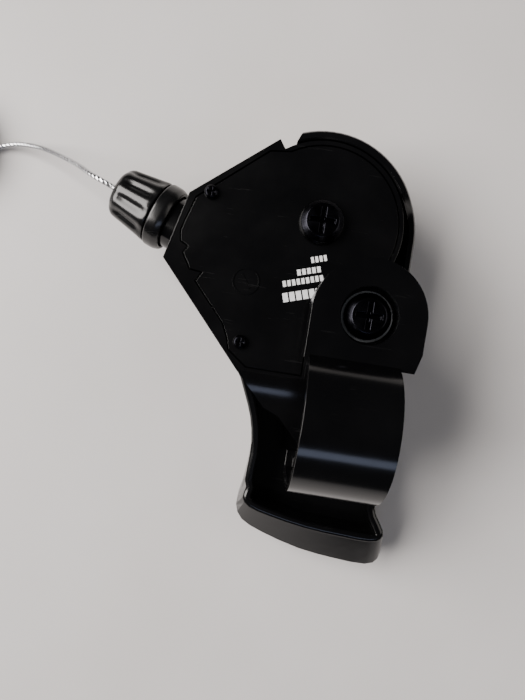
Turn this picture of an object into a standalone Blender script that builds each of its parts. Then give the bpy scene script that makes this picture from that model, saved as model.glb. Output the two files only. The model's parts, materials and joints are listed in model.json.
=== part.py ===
"""A left-hand thumb shifter for a 22.2 mm handlebar, with its inner cable.

Units are metres and +Z is up. The shifter lies on the face that the rider sees, with the clamp up:
X runs along the handlebar, the drum lies towards +Y and the thumb paddle towards -Y.
Places in the plan are measured from the lever's axle, and heights from the resting face.
"""
import math

import bmesh
import bpy
from mathutils import Vector

# Clearances
GAP = 0.0003                  # between two pieces that touch
RUNNING_GAP = 0.0004          # between the lever's skirt and the drum

# The axle's place in the world: the box around the shifter, cable apart, is centred on the origin
AXLE_X = 0.009845
AXLE_Y = 0.02664

# Handlebar and the deck that carries it
BAR_RADIUS = 0.0111
SADDLE_CLEARANCE = 0.0002
BAR_Y = -0.0402
SADDLE_DEPTH = 0.0028         # how far the saddle is sunk in the deck
DECK_TOP = 0.0250
DECK_THICKNESS = 0.0050
DECK_END_Y = -0.0513
DECK_RIGHT_X = 0.0202

# Housing
HOUSING_BOTTOM = 0.0062
FLOOR_THICKNESS = 0.0018
DRUM_RADIUS = 0.0172
DRUM_WALL = 0.0017
HOUSING_EDGE_BEVEL = 0.0007
BODY_STEP = 0.0003            # the body's walls stand in from the deck's edge above them
SHOULDER_REACH = 0.0023       # how far the upper wall's end stands out from the drum, beside the lever's rim
SHOULDER_ANGLE = 125.0

# Base plate
PLATE_THICKNESS = 0.0016
PLATE_EDGE = 0.0012           # from the plate's edge to the drum's
PLATE_END_Y = -0.0320
PLATE_SCREW_PLACES = {"plate_screw_upper": (-0.0236, 0.0026), "plate_screw_lower": (-0.0128, -0.0272)}
PLATE_SCREW_RADIUS = 0.0008
PLATE_SCREW_HEAD_RADIUS = 0.0015
PLATE_SCREW_HEAD_HEIGHT = 0.0009
PLATE_SCREW_LENGTH = 0.0046

# Lever
HUB_RADIUS = 0.0213
LEVER_WALL = 0.0018
WEB_TOP = 0.0050
WEB_LIP = 0.0007
HUB_RIM_TOP = 0.0192
COLLAR_FALL_START = 31.0      # the angles between which the collar falls to the rim's height
COLLAR_FALL_END = 16.0
PADDLE_RIM_TOP = 0.0140
RIM_FALL_START_Y = -0.0200
RIM_FALL_END_Y = -0.0600
RIM_END_ANGLE = 110.5
RIM_END_STEP = 0.6            # the angle over which the collar's end falls to the web
FLARE_START_Y = -0.0575
FLARE_LENGTH_RATIO = 0.60
FLARE_WIDTH_RATIO = 0.93
FLARE_CENTRE_X = 0.0095
FLARE_TOP = 0.0085
LEVER_EDGE_ROUND = 0.0026
LEVER_BOSS_RADIUS = 0.0080
LEVER_BOSS_TOP = 0.0117
NUT_RECESS_RADIUS = 0.0066
CAP_RADIUS = 0.0090
CAP_THICKNESS = 0.0012
DOG_WIDTH = 0.0030
DOG_HEIGHT = 0.0014
DOG_INNER_RADIUS = 0.0062

# Axle, its screw and the friction pack
AXLE_RADIUS = 0.0040
AXLE_FLANGE_RADIUS = 0.0070
AXLE_FLANGE_THICKNESS = 0.0010
AXLE_SCREW_RADIUS = 0.0025
AXLE_SCREW_HEAD_RADIUS = 0.0047
AXLE_SCREW_HEAD_HEIGHT = 0.0027
AXLE_NUT_FLAT = 0.0080
AXLE_NUT_HEIGHT = 0.0031
AXLE_WASHER_RADIUS = 0.0062
AXLE_WASHER_THICKNESS = 0.0008
BUSH_WALL = 0.0010
THRUST_WASHER_INNER = 0.0087
THRUST_WASHER_OUTER = 0.0140
FRICTION_RADIUS = 0.0120
FRICTION_THICKNESS = 0.0006
WAVE_SPRING_WIDTH = 0.0022
WAVE_SPRING_THICKNESS = 0.0003
WAVE_SPRING_RISE = 0.0002
WAVE_COUNT = 3

# Reel and cable
CABLE_RADIUS = 0.0006
REEL_CLEARANCE = 0.0004
REEL_LIP = 0.0007             # from the cable's middle to the flanges' edge
REEL_HUB_RADIUS = 0.0095
REEL_HEIGHT = 0.0070
CABLE_HEIGHT = 0.0160
GROOVE_HALF_WIDTH = 0.0014
FLANGE_THICKNESS = 0.0012
WRAP_ANGLE = 50.0
NIPPLE_RADIUS = 0.0022
NIPPLE_LENGTH = 0.0044
NIPPLE_INSET = 0.0023         # from the reel's pitch circle to the nipple's middle

# Barrel adjuster, along a line that touches the reel's pitch circle
ADJUSTER_ANGLE = 158.9        # the way that the cable leaves, from +X
EAR_END = 0.0270              # distances along that line from where it touches the reel
EAR_SLANT = 0.0020            # how much less far the ear's lower corner reaches
EAR_UPPER_SIDE = 0.0061
EAR_LOWER_SIDE = 0.0084
BOSS_END = 0.0324
BOSS_RADIUS = 0.0059
INSERT_START = 0.0215
INSERT_RADIUS = 0.0042
COLLAR_START = 0.0291
COLLAR_RADIUS = 0.0074
KNOB_START = 0.0330
KNOB_LENGTH = 0.0100
KNOB_BASE_RADIUS = 0.0072
KNOB_NOSE_RADIUS = 0.0059
KNOB_TIP_RADIUS = 0.0036
KNOB_DOME_HEIGHT = 0.0022
KNOB_CAVITY_RADIUS = 0.0050
KNOB_CAVITY_DEPTH = 0.0046
CASING_SOCKET_RADIUS = 0.0026
CASING_SOCKET_DEPTH = 0.0038
BOLT_RADIUS = 0.0025
BOLT_BORE = 0.0011
BOLT_START = 0.0200
BOLT_HEAD_RADIUS = 0.0036
BOLT_HEAD_THICKNESS = 0.0013
SPRING_RADIUS = 0.0044
SPRING_WIRE_RADIUS = 0.00035
SPRING_TURNS = 4

# Clamp
CLAMP_SCREW_X = 0.0106
CLAMP_SCREW_Y = -0.0187
POST_RADIUS = 0.0090
POST_HEIGHT = 0.0062
BAND_CENTRE_X = 0.0092
BAND_HALF_WIDTH = 0.0085
BAND_THICKNESS = 0.0023
BAND_BOSS_RADIUS = 0.0108
BAND_BOSS_THICKNESS = 0.0070
BAND_BOSS_END_Y = -0.0281
BAND_TOE_LENGTH = 0.0030
BAND_TOE_THICKNESS = 0.0017
COUNTERBORE_RADIUS = 0.0055
COUNTERBORE_DEPTH = 0.0044
CLAMP_SCREW_RADIUS = 0.0025
CLAMP_HEAD_RADIUS = 0.0045
CLAMP_HEAD_HEIGHT = 0.0028
CLAMP_WASHER_RADIUS = 0.0050
CLAMP_WASHER_THICKNESS = 0.0008
CLAMP_NUT_FLAT = 0.0080
CLAMP_NUT_HEIGHT = 0.0038

# Coil of spare cable
CABLE_EXIT = 0.0450           # along the adjuster's line
COIL_X = -0.0990
COIL_Y = 0.0100
COIL_MEAN_RADIUS = 0.0108
COIL_WIDTH = 0.0062
COIL_HEIGHT = 0.0062
TIE_THICKNESS = 0.0006
TIE_WIDTH = 0.0030

# What follows from those sizes
CAVITY_RADIUS = DRUM_RADIUS - DRUM_WALL
REEL_FLANGE_RADIUS = CAVITY_RADIUS - REEL_CLEARANCE
REEL_PITCH_RADIUS = REEL_FLANGE_RADIUS - REEL_LIP
NIPPLE_PITCH_RADIUS = REEL_PITCH_RADIUS - NIPPLE_INSET
SHOULDER_RADIUS = DRUM_RADIUS + SHOULDER_REACH
PLATE_RADIUS = DRUM_RADIUS - PLATE_EDGE
BAR_Z = DECK_TOP + BAR_RADIUS + SADDLE_CLEARANCE - SADDLE_DEPTH
DECK_BOTTOM = DECK_TOP - DECK_THICKNESS
SADDLE_RADIUS = BAR_RADIUS + SADDLE_CLEARANCE
BAND_RADIUS = SADDLE_RADIUS + GAP / 3
PLATE_BOTTOM = DECK_TOP - PLATE_THICKNESS
POST_TOP = DECK_TOP + POST_HEIGHT
BAND_BOTTOM = POST_TOP + GAP
BAND_TOP = BAND_BOTTOM + BAND_BOSS_THICKNESS
COLLAR_TOP = DECK_TOP         # the collar is the rim's raised part, which stands around the drum
COLLAR_RADIUS_AT_TOP = DRUM_RADIUS + RUNNING_GAP + LEVER_WALL
FLOOR_TOP = HOUSING_BOTTOM + FLOOR_THICKNESS
AXLE_TOP = PLATE_BOTTOM - GAP
SCREW_HOLE_RADIUS = AXLE_SCREW_RADIUS + GAP
BUSH_INNER = AXLE_RADIUS + GAP
BUSH_OUTER = BUSH_INNER + BUSH_WALL
BUSH_HOLE = BUSH_OUTER + GAP
CAP_RECESS_TOP = CAP_THICKNESS + GAP
NUT_BOTTOM = CAP_RECESS_TOP + GAP
NUT_TOP = NUT_BOTTOM + AXLE_NUT_HEIGHT
AXLE_WASHER_TOP = NUT_TOP + GAP + AXLE_WASHER_THICKNESS
AXLE_BOTTOM = AXLE_WASHER_TOP + GAP
NUT_RECESS_TOP = AXLE_BOTTOM
REEL_BOTTOM = LEVER_BOSS_TOP + GAP
REEL_TOP = REEL_BOTTOM + REEL_HEIGHT
KNOB_END = KNOB_START + KNOB_LENGTH
COLLAR_END = KNOB_START - GAP
ADJUSTER_WAY = Vector((math.cos(math.radians(ADJUSTER_ANGLE)), math.sin(math.radians(ADJUSTER_ANGLE)), 0.0))
TANGENT_ANGLE = ADJUSTER_ANGLE + 90.0

parts = bpy.data.collections.new("thumb_shifter")
cutters = bpy.data.collections.new("cutters")


# ---------------------------------------------------------------- helpers

def polar(radius, degrees, x=0.0, y=0.0):
    """A point at a radius and angle from (x, y)."""
    return (x + radius * math.cos(math.radians(degrees)), y + radius * math.sin(math.radians(degrees)))


def arc(radius, start, end, steps, x=0.0, y=0.0):
    """Points along an arc, both ends included."""
    return [polar(radius, start + (end - start) * i / steps, x, y) for i in range(steps + 1)]


def smooth_through(points, pieces):
    """A Catmull-Rom curve through the points, each span cut into equal pieces."""
    ends = [points[0]] + list(points) + [points[-1]]
    curve = []
    for i in range(1, len(ends) - 2):
        a, b, c, d = (Vector(p) for p in ends[i - 1:i + 3])
        for k in range(pieces):
            t = k / pieces
            curve.append(0.5 * (2 * b + (c - a) * t + (2 * a - 5 * b + 4 * c - d) * t ** 2
                                + (3 * b - a - 3 * c + d) * t ** 3))
    curve.append(Vector(points[-1]))
    return [tuple(p) for p in curve]


def offset(outline, distance):
    """A closed, anticlockwise outline moved inwards by a distance (outwards when negative)."""
    moved = []
    for i, point in enumerate(outline):
        before = Vector(point) - Vector(outline[i - 1])
        after = Vector(outline[(i + 1) % len(outline)]) - Vector(point)
        normal_before = Vector((-before.y, before.x)).normalized()
        normal_after = Vector((-after.y, after.x)).normalized()
        mitre = (normal_before + normal_after) / (1.0 + normal_before.dot(normal_after))
        moved.append(tuple(Vector(point) + mitre * distance))
    return moved


def empty(name, location, rotation=(0.0, 0.0, 0.0), parent=None):
    """A parent for the pieces that share an axis."""
    holder = bpy.data.objects.new(name, None)
    holder.empty_display_size = 0.01
    holder.location = location
    holder.rotation_euler = rotation
    holder.parent = parent
    parts.objects.link(holder)
    return holder


def place(name, mesh, parent, location=(0.0, 0.0, 0.0), rotation=(0.0, 0.0, 0.0), collection=parts):
    """A new object with a mesh, at a place under its parent."""
    piece = bpy.data.objects.new(name, mesh)
    piece.location = location
    piece.rotation_euler = rotation
    piece.parent = parent
    collection.objects.link(piece)
    return piece


def hide_as_cutter(piece):
    """Keep a shape that only cuts or joins another piece out of the model."""
    for collection in list(piece.users_collection):
        collection.objects.unlink(piece)
    cutters.objects.link(piece)
    piece.hide_render = True
    piece.display_type = "WIRE"
    return piece


def combine(piece, operation, other):
    """A live Boolean of two objects."""
    boolean = piece.modifiers.new(operation.lower() + "_" + other.name, "BOOLEAN")
    boolean.operation = operation
    boolean.object = hide_as_cutter(other)
    boolean.solver = "EXACT"
    return piece


def cut(piece, other):
    return combine(piece, "DIFFERENCE", other)


def join(piece, other):
    return combine(piece, "UNION", other)


def bevel(piece, width, segments=2, angle=40.0):
    """Round the edges that are sharper than an angle."""
    modifier = piece.modifiers.new("rounded_edges", "BEVEL")
    modifier.width = width
    modifier.segments = segments
    modifier.limit_method = "ANGLE"
    modifier.angle_limit = math.radians(angle)
    return piece


def smooth_shading(piece, angle=35.0):
    piece.data.shade_smooth()
    piece.data.set_sharp_from_angle(angle=math.radians(angle))
    return piece


def extruded(name, outline, bottom, top, parent, rotation=(0.0, 0.0, 0.0)):
    """A flat outline, filled and extruded between two heights, as a mesh."""
    curve = bpy.data.curves.new(name, "CURVE")
    curve.dimensions = "2D"
    curve.fill_mode = "BOTH"
    curve.extrude = (top - bottom) / 2
    spline = curve.splines.new("POLY")
    spline.points.add(len(outline) - 1)
    for point, (x, y) in zip(spline.points, outline):
        point.co = (x, y, 0.0, 1.0)
    spline.use_cyclic_u = True
    return mesh_of_curve(name, curve, parent, (0.0, 0.0, (top + bottom) / 2), rotation)


def mesh_of_curve(name, curve, parent, shift=(0.0, 0.0, 0.0), rotation=(0.0, 0.0, 0.0)):
    """The evaluated curve as a welded mesh object."""
    guide = bpy.data.objects.new(name + "_curve", curve)
    parts.objects.link(guide)
    graph = bpy.context.evaluated_depsgraph_get()
    mesh = bpy.data.meshes.new_from_object(guide.evaluated_get(graph))
    mesh.name = name
    shape = bmesh.new()
    shape.from_mesh(mesh)
    bmesh.ops.remove_doubles(shape, verts=shape.verts, dist=1e-6)
    bmesh.ops.translate(shape, verts=shape.verts, vec=shift)
    bmesh.ops.recalc_face_normals(shape, faces=shape.faces)
    shape.to_mesh(mesh)
    shape.free()
    bpy.data.objects.remove(guide)
    bpy.data.curves.remove(curve)
    return place(name, mesh, parent, rotation=rotation)


def turned(name, profile, parent, steps=32, closed=False, location=(0.0, 0.0, 0.0)):
    """A profile of (radius, height), run down its outer side, turned about Z."""
    mesh = bpy.data.meshes.new(name)
    edges = [(i, i + 1) for i in range(len(profile) - 1)]
    if closed:
        edges.append((len(profile) - 1, 0))
    mesh.from_pydata([(radius, 0.0, height) for radius, height in profile], edges, [])
    piece = place(name, mesh, parent, location)
    screw = piece.modifiers.new("turned", "SCREW")
    screw.steps = steps
    screw.render_steps = steps
    screw.use_merge_vertices = True
    screw.merge_threshold = 0.00001
    screw.use_smooth_shade = True
    return piece


def cylinder(name, radius, bottom, top, parent, x=0.0, y=0.0, sides=32, rotation=(0.0, 0.0, 0.0)):
    """A capped cylinder or prism between two heights."""
    shape = bmesh.new()
    bmesh.ops.create_cone(shape, cap_ends=True, segments=sides, radius1=radius, radius2=radius,
                          depth=top - bottom)
    bmesh.ops.translate(shape, verts=shape.verts, vec=(0.0, 0.0, (top + bottom) / 2))
    mesh = bpy.data.meshes.new(name)
    shape.to_mesh(mesh)
    shape.free()
    return place(name, mesh, parent, (x, y, 0.0), rotation)


def ring(name, inner, outer, bottom, top, parent, x=0.0, y=0.0, steps=32):
    """A flat ring or a tube."""
    profile = [(inner, top), (outer, top), (outer, bottom), (inner, bottom)]
    return turned(name, profile, parent, steps, closed=True, location=(x, y, 0.0))


def box(name, low, high, parent, rotation=(0.0, 0.0, 0.0)):
    """A block between two corners."""
    shape = bmesh.new()
    bmesh.ops.create_cube(shape, size=1.0)
    for vertex in shape.verts:
        for axis in range(3):
            share = vertex.co[axis] + 0.5
            vertex.co[axis] = low[axis] + (high[axis] - low[axis]) * share
    mesh = bpy.data.meshes.new(name)
    shape.to_mesh(mesh)
    shape.free()
    return place(name, mesh, parent, rotation=rotation)


def lofted(name, rings, parent):
    """A closed solid through rings of equal point counts, its first and last rings filled."""
    count = len(rings[0])
    shape = bmesh.new()
    levels = [[shape.verts.new(point) for point in ring_points] for ring_points in rings]
    for lower, upper in zip(levels, levels[1:]):
        for i in range(count):
            k = (i + 1) % count
            shape.faces.new((lower[i], lower[k], upper[k], upper[i]))
    shape.faces.new(list(reversed(levels[0])))
    shape.faces.new(levels[-1])
    mesh = bpy.data.meshes.new(name)
    shape.to_mesh(mesh)
    shape.free()
    return place(name, mesh, parent)


def tube(name, points, radius, parent, resolution=2, closed=False):
    """A wire of round section along points, as a mesh."""
    curve = bpy.data.curves.new(name, "CURVE")
    curve.dimensions = "3D"
    curve.bevel_depth = radius
    curve.bevel_resolution = resolution
    curve.use_fill_caps = True
    spline = curve.splines.new("POLY")
    spline.points.add(len(points) - 1)
    for point, position in zip(spline.points, points):
        point.co = (*position, 1.0)
    spline.use_cyclic_u = closed
    return smooth_shading(mesh_of_curve(name, curve, parent), 50.0)


def screw_with_cross(name, place_xy, under_head, head_radius, head_height, shank_radius, shank_end, parent,
                     sides=24):
    """A pan-head screw, head up, with a cross recess."""
    x, y = place_xy
    top = under_head + head_height
    shoulder = head_radius * 0.72
    profile = [(0.0, top), (shoulder, top - 0.08 * head_height), (head_radius * 0.94, top - 0.38 * head_height),
               (head_radius, under_head + 0.25 * head_height), (head_radius, under_head),
               (shank_radius, under_head), (shank_radius, shank_end + shank_radius * 0.4),
               (shank_radius * 0.6, shank_end), (0.0, shank_end)]
    piece = turned(name, profile, parent, sides, location=(x, y, 0.0))
    arm = head_radius * 0.56
    half = head_radius * 0.10
    depth = head_height * 0.62
    cross = box(name + "_cross", (-arm, -half, top - depth), (arm, half, top + GAP), parent)
    cross.location = (x, y, 0.0)
    other_arm = box(name + "_cross_arm", (-half, -arm, top - depth), (half, arm, top + GAP), parent)
    other_arm.location = (x, y, 0.0)
    return cut(cut(piece, cross), other_arm)


# ---------------------------------------------------------------- holders

def make_holders():
    """The empties that the pieces hang on, each on its joint's axis."""
    axle = empty("lever_axis", (AXLE_X, AXLE_Y, 0.0))
    foot = Vector(polar(REEL_PITCH_RADIUS, TANGENT_ANGLE))
    line = empty("adjuster_axis", (foot.x, foot.y, CABLE_HEIGHT),
                 (0.0, math.pi / 2, math.radians(ADJUSTER_ANGLE)), axle)
    return axle, line


def adjuster_point(distance):
    """The plan point at a distance along the adjuster's line."""
    foot = Vector(polar(REEL_PITCH_RADIUS, TANGENT_ANGLE))
    return foot + Vector((ADJUSTER_WAY.x, ADJUSTER_WAY.y)) * distance


def bar_cutter(name, radius, parent):
    """The handlebar's cylinder, longer than the shifter is wide."""
    cutter = cylinder(name, radius, -0.060, 0.060, parent, sides=64, rotation=(0.0, math.pi / 2, 0.0))
    cutter.location = (0.0, BAR_Y, BAR_Z)
    return cutter


# ---------------------------------------------------------------- housing and base plate

def ear_corners():
    """The two corners of the ear's end, on either side of the adjuster's line."""
    side = Vector((-ADJUSTER_WAY.y, ADJUSTER_WAY.x))
    upper = adjuster_point(EAR_END) - side * EAR_UPPER_SIDE
    lower = adjuster_point(EAR_END - EAR_SLANT) + side * EAR_LOWER_SIDE
    return tuple(upper), tuple(lower)


def deck_outline():
    """The housing seen from above, at the height of the deck."""
    upper_corner, lower_corner = ear_corners()
    left_edge = [(-0.0120, -0.0338), (-0.0058, -0.0402), (-0.0024, -0.0416), (0.0036, -0.0475),
                 (0.0020, -0.0495), (0.0020, DECK_END_Y)]
    right_edge = [(DECK_RIGHT_X, DECK_END_Y), (DECK_RIGHT_X, -0.0130)]
    drum = arc(DRUM_RADIUS, -30.0, SHOULDER_ANGLE, 26)
    shoulder = [polar(SHOULDER_RADIUS, SHOULDER_ANGLE)]
    return drum + shoulder + [upper_corner, lower_corner] + left_edge + right_edge


def body_outline():
    """The drum and the ear below the deck, clear of the lever's swing."""
    upper_corner, lower_corner = ear_corners()
    drum = arc(DRUM_RADIUS, -112.0, SHOULDER_ANGLE, 40)
    shoulder = [polar(SHOULDER_RADIUS, SHOULDER_ANGLE)]
    return drum + shoulder + [upper_corner, lower_corner, (-0.0170, -0.0283)]


def plate_outline():
    """The base plate: the drum's circle, the ear, and the stepped edge along the left wall."""
    ear_edge = [(-0.0128, 0.0130), (-0.0265, 0.0012), (-0.0286, -0.0060), (-0.0283, -0.0082),
                (-0.0265, -0.0092), (-0.0274, -0.0106), (-0.0255, -0.0137), (-0.0227, -0.0140),
                (-0.0239, -0.0161), (-0.0170, -0.0237), (-0.0156, -0.0266), (-0.0149, -0.0290),
                (-0.0108, PLATE_END_Y)]
    right_edge = [(0.0007, PLATE_END_Y)]
    return arc(PLATE_RADIUS, -87.5, 122.0, 34) + ear_edge + right_edge


def ear_cavity():
    """The hollow in the ear, which leaves a ledge for the plate and solid stock for the adjuster."""
    return [(-0.0090, 0.0125), (-0.0195, 0.0030), (-0.0248, -0.0120), (-0.0172, -0.0215), (-0.0070, -0.0130)]


def make_housing(axle, line):
    housing = bevel(extruded("housing", deck_outline(), DECK_BOTTOM, DECK_TOP, axle), HOUSING_EDGE_BEVEL)
    body = extruded("housing_body", offset(body_outline(), BODY_STEP), HOUSING_BOTTOM,
                    DECK_TOP - 2 * HOUSING_EDGE_BEVEL, axle)
    join(housing, bevel(body, HOUSING_EDGE_BEVEL, angle=50.0))
    join(housing, cylinder("adjuster_boss", BOSS_RADIUS, INSERT_START, BOSS_END, line))
    cut(housing, cylinder("drum_hollow", CAVITY_RADIUS, FLOOR_TOP, DECK_TOP + GAP, axle, sides=64))
    cut(housing, extruded("ear_hollow", ear_cavity(), FLOOR_TOP, DECK_TOP + GAP, axle))
    recess = offset(plate_outline(), -GAP)
    cut(housing, extruded("plate_recess", recess, AXLE_TOP, DECK_TOP + GAP, axle))
    post = join(cylinder("clamp_post", POST_RADIUS, PLATE_BOTTOM, POST_TOP, axle, CLAMP_SCREW_X,
                         CLAMP_SCREW_Y, 48),
                box("post_web", (CLAMP_SCREW_X - POST_RADIUS, BAR_Y, PLATE_BOTTOM),
                    (CLAMP_SCREW_X + POST_RADIUS, CLAMP_SCREW_Y, POST_TOP - GAP), axle))
    join(housing, post)
    cut(housing, bar_cutter("saddle", SADDLE_RADIUS, axle))
    toe_low = (BAND_CENTRE_X - BAND_HALF_WIDTH - GAP, DECK_END_Y - GAP, DECK_BOTTOM - GAP)
    toe_high = (BAND_CENTRE_X + BAND_HALF_WIDTH + GAP, DECK_END_Y + BAND_TOE_LENGTH + GAP,
                DECK_BOTTOM + BAND_TOE_THICKNESS + 2 * GAP)
    cut(housing, box("toe_recess", toe_low, toe_high, axle))
    hole = CLAMP_SCREW_RADIUS + GAP
    cut(housing, cylinder("clamp_hole", hole, DECK_BOTTOM - GAP, POST_TOP + GAP, axle, CLAMP_SCREW_X,
                          CLAMP_SCREW_Y, 24))
    pocket = nut_radius(CLAMP_NUT_FLAT) + GAP
    cut(housing, cylinder("nut_pocket", pocket, DECK_BOTTOM - GAP, DECK_BOTTOM + CLAMP_NUT_HEIGHT + 2 * GAP,
                          axle, CLAMP_SCREW_X, CLAMP_SCREW_Y, 6))
    cut(housing, cylinder("lever_boss_hole", LEVER_BOSS_RADIUS + GAP, 0.0, FLOOR_TOP + GAP, axle, sides=48))
    cut(housing, cylinder("insert_bore", INSERT_RADIUS + GAP, INSERT_START - GAP, BOSS_END + GAP, line))
    cut(housing, cylinder("bolt_bore", BOLT_RADIUS + GAP, BOLT_START - 0.0030, BOSS_END, line, sides=24))
    cut(housing, cylinder("cable_bore", CABLE_RADIUS * 2.2, 0.0, BOSS_END, line, sides=16))
    for name, (x, y) in PLATE_SCREW_PLACES.items():
        cut(housing, cylinder(name + "_pilot", PLATE_SCREW_RADIUS + GAP, DECK_TOP - PLATE_SCREW_LENGTH - GAP,
                              PLATE_BOTTOM + GAP, axle, x, y, 16))
    return smooth_shading(housing)


def make_base_plate(axle):
    plate = extruded("base_plate", plate_outline(), PLATE_BOTTOM, DECK_TOP, axle)
    cut(plate, cylinder("plate_axle_hole", SCREW_HOLE_RADIUS, PLATE_BOTTOM - GAP, DECK_TOP + GAP, axle, sides=24))
    cut(plate, cylinder("plate_post_cut", POST_RADIUS + GAP, PLATE_BOTTOM - GAP, DECK_TOP + GAP, axle,
                        CLAMP_SCREW_X, CLAMP_SCREW_Y, 48))
    for name, (x, y) in PLATE_SCREW_PLACES.items():
        cut(plate, cylinder(name + "_hole", PLATE_SCREW_RADIUS + GAP, PLATE_BOTTOM - GAP, DECK_TOP + GAP, axle,
                            x, y, 16))
    return smooth_shading(plate)


def make_plate_screws(axle):
    """The two small screws that hold the base plate."""
    return [screw_with_cross(name, xy, DECK_TOP + GAP, PLATE_SCREW_HEAD_RADIUS, PLATE_SCREW_HEAD_HEIGHT,
                             PLATE_SCREW_RADIUS, DECK_TOP - PLATE_SCREW_LENGTH + GAP, axle, 16)
            for name, xy in PLATE_SCREW_PLACES.items()]


# ---------------------------------------------------------------- lever

def lever_outline():
    """The lever's widest outline, anticlockwise from the right of the hub."""
    hub = arc(HUB_RADIUS, 2.0, RIM_END_ANGLE, 23) + arc(HUB_RADIUS, RIM_END_ANGLE + RIM_END_STEP, 228.0, 18)
    left = [(-0.0130, -0.0205), (-0.0126, -0.0270), (-0.0124, -0.0336), (-0.0119, -0.0347), (-0.0104, -0.0381),
            (-0.0083, -0.0432), (-0.0071, -0.0490), (-0.0071, -0.0550), (-0.0077, -0.0610)]
    end = [(-0.0083, -0.0652), (-0.0064, -0.0686), (-0.0011, -0.0709), (0.0080, -0.0733), (0.0169, -0.0743),
           (0.0242, -0.0745), (0.0270, -0.0728), (0.0272, -0.0692)]
    right = [(0.0250, -0.0640), (0.0236, -0.0580), (0.0222, -0.0480), (0.0215, -0.0300), (0.0213, -0.0100)]
    blade = smooth_through(left + end + right, 2)
    return hub + blade


def collar_share(angle):
    """How far the rim has risen into the collar around the drum, from 0 to 1."""
    if angle > RIM_END_ANGLE + RIM_END_STEP / 2:
        return 0.0
    share = (angle - COLLAR_FALL_END) / (COLLAR_FALL_START - COLLAR_FALL_END)
    share = min(1.0, max(0.0, share))
    return share * share * (3.0 - 2.0 * share)


def rim_height(x, y):
    """How high the skirt stands at a point of the outline."""
    angle = math.degrees(math.atan2(y, x)) % 360.0
    reach = math.hypot(x, y)
    if RIM_END_ANGLE + RIM_END_STEP / 2 < angle < 256.0 and reach < 0.0360:
        return WEB_TOP + WEB_LIP
    if collar_share(angle) > 0.0:
        return HUB_RIM_TOP + (COLLAR_TOP - HUB_RIM_TOP) * collar_share(angle)
    fall = min(1.0, max(0.0, (y - RIM_FALL_START_Y) / (RIM_FALL_END_Y - RIM_FALL_START_Y)))
    return HUB_RIM_TOP + (PADDLE_RIM_TOP - HUB_RIM_TOP) * fall


def rim_outline(outline):
    """The outline of the skirt's rim: the collar and the paddle's end lean in above their foot."""
    rim = []
    for x, y in outline:
        share = collar_share(math.degrees(math.atan2(y, x)) % 360.0)
        leaning = 1.0 + (COLLAR_RADIUS_AT_TOP / HUB_RADIUS - 1.0) * share
        x, y = x * leaning, y * leaning
        if y < FLARE_START_Y:
            share = min(1.0, (FLARE_START_Y - y) / 0.0040)
            width = 1.0 + (FLARE_WIDTH_RATIO - 1.0) * share
            x = FLARE_CENTRE_X + (x - FLARE_CENTRE_X) * width
            y = FLARE_START_Y + (y - FLARE_START_Y) * FLARE_LENGTH_RATIO
        rim.append((x, y))
    return rim


def make_lever(axle):
    foot = lever_outline()
    rim = rim_outline(foot)
    heights = [rim_height(x, y) for x, y in foot]
    edge = LEVER_EDGE_ROUND

    def level(outline, zs):
        return [(x, y, z) for (x, y), z in zip(outline, zs)]

    def flat(outline, z):
        return level(outline, [z] * len(outline))

    rings = [flat(offset(foot, edge), 0.0),
             flat(offset(foot, edge * 0.30), edge * 0.28),
             flat(foot, edge),
             level(foot, [min(FLARE_TOP, h - WEB_LIP) for h in heights]),
             level(rim, [h - 0.0005 for h in heights]),
             level(offset(rim, 0.0004), heights),
             level(offset(rim, LEVER_WALL - 0.0003), heights),
             level(offset(rim, LEVER_WALL), [h - 0.0003 for h in heights]),
             flat(offset(rim, LEVER_WALL), WEB_TOP)]
    lever = lofted("lever", rings, axle)
    join(lever, cylinder("lever_boss", LEVER_BOSS_RADIUS, WEB_TOP - 0.0010, LEVER_BOSS_TOP, axle, sides=48))
    for side in (-1, 1):
        low = (min(side * DOG_INNER_RADIUS, side * (LEVER_BOSS_RADIUS - GAP)), -DOG_WIDTH / 2, LEVER_BOSS_TOP - 0.0010)
        high = (max(side * DOG_INNER_RADIUS, side * (LEVER_BOSS_RADIUS - GAP)), DOG_WIDTH / 2,
                LEVER_BOSS_TOP + DOG_HEIGHT)
        join(lever, box("drive_dog_%d" % (side + 1), low, high, axle))
    cut(lever, cylinder("cap_recess", CAP_RADIUS + GAP, -GAP, CAP_RECESS_TOP, axle, sides=48))
    cut(lever, cylinder("nut_recess", NUT_RECESS_RADIUS, 0.0, NUT_RECESS_TOP, axle))
    cut(lever, cylinder("lever_bore", BUSH_HOLE, 0.0, LEVER_BOSS_TOP + 0.0030, axle))
    return smooth_shading(lever)


def make_lever_cap(axle):
    profile = [(0.0, CAP_THICKNESS), (CAP_RADIUS, CAP_THICKNESS), (CAP_RADIUS, 0.0004), (CAP_RADIUS - 0.0004, 0.0),
               (0.0, 0.0)]
    return turned("lever_cap", profile, axle, 48)


# ---------------------------------------------------------------- axle and friction pack

def nut_radius(across_flats):
    """From a hexagon's centre to its corner."""
    return across_flats / math.sqrt(3.0)


def hex_nut(name, across_flats, bore, bottom, top, parent, x=0.0, y=0.0):
    nut = cylinder(name, nut_radius(across_flats), bottom, top, parent, x, y, 6)
    return cut(nut, cylinder(name + "_bore", bore, bottom - GAP, top + GAP, parent, x, y, 24))


def make_axle(axle):
    flange_bottom = AXLE_TOP - AXLE_FLANGE_THICKNESS
    profile = [(SCREW_HOLE_RADIUS, AXLE_TOP), (AXLE_FLANGE_RADIUS, AXLE_TOP), (AXLE_FLANGE_RADIUS, flange_bottom),
               (AXLE_RADIUS, flange_bottom), (AXLE_RADIUS, AXLE_BOTTOM), (SCREW_HOLE_RADIUS, AXLE_BOTTOM)]
    return turned("main_axle", profile, axle, 32, closed=True)


def wavy(angle):
    return WAVE_SPRING_RISE * math.sin(math.radians(angle) * WAVE_COUNT)


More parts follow.
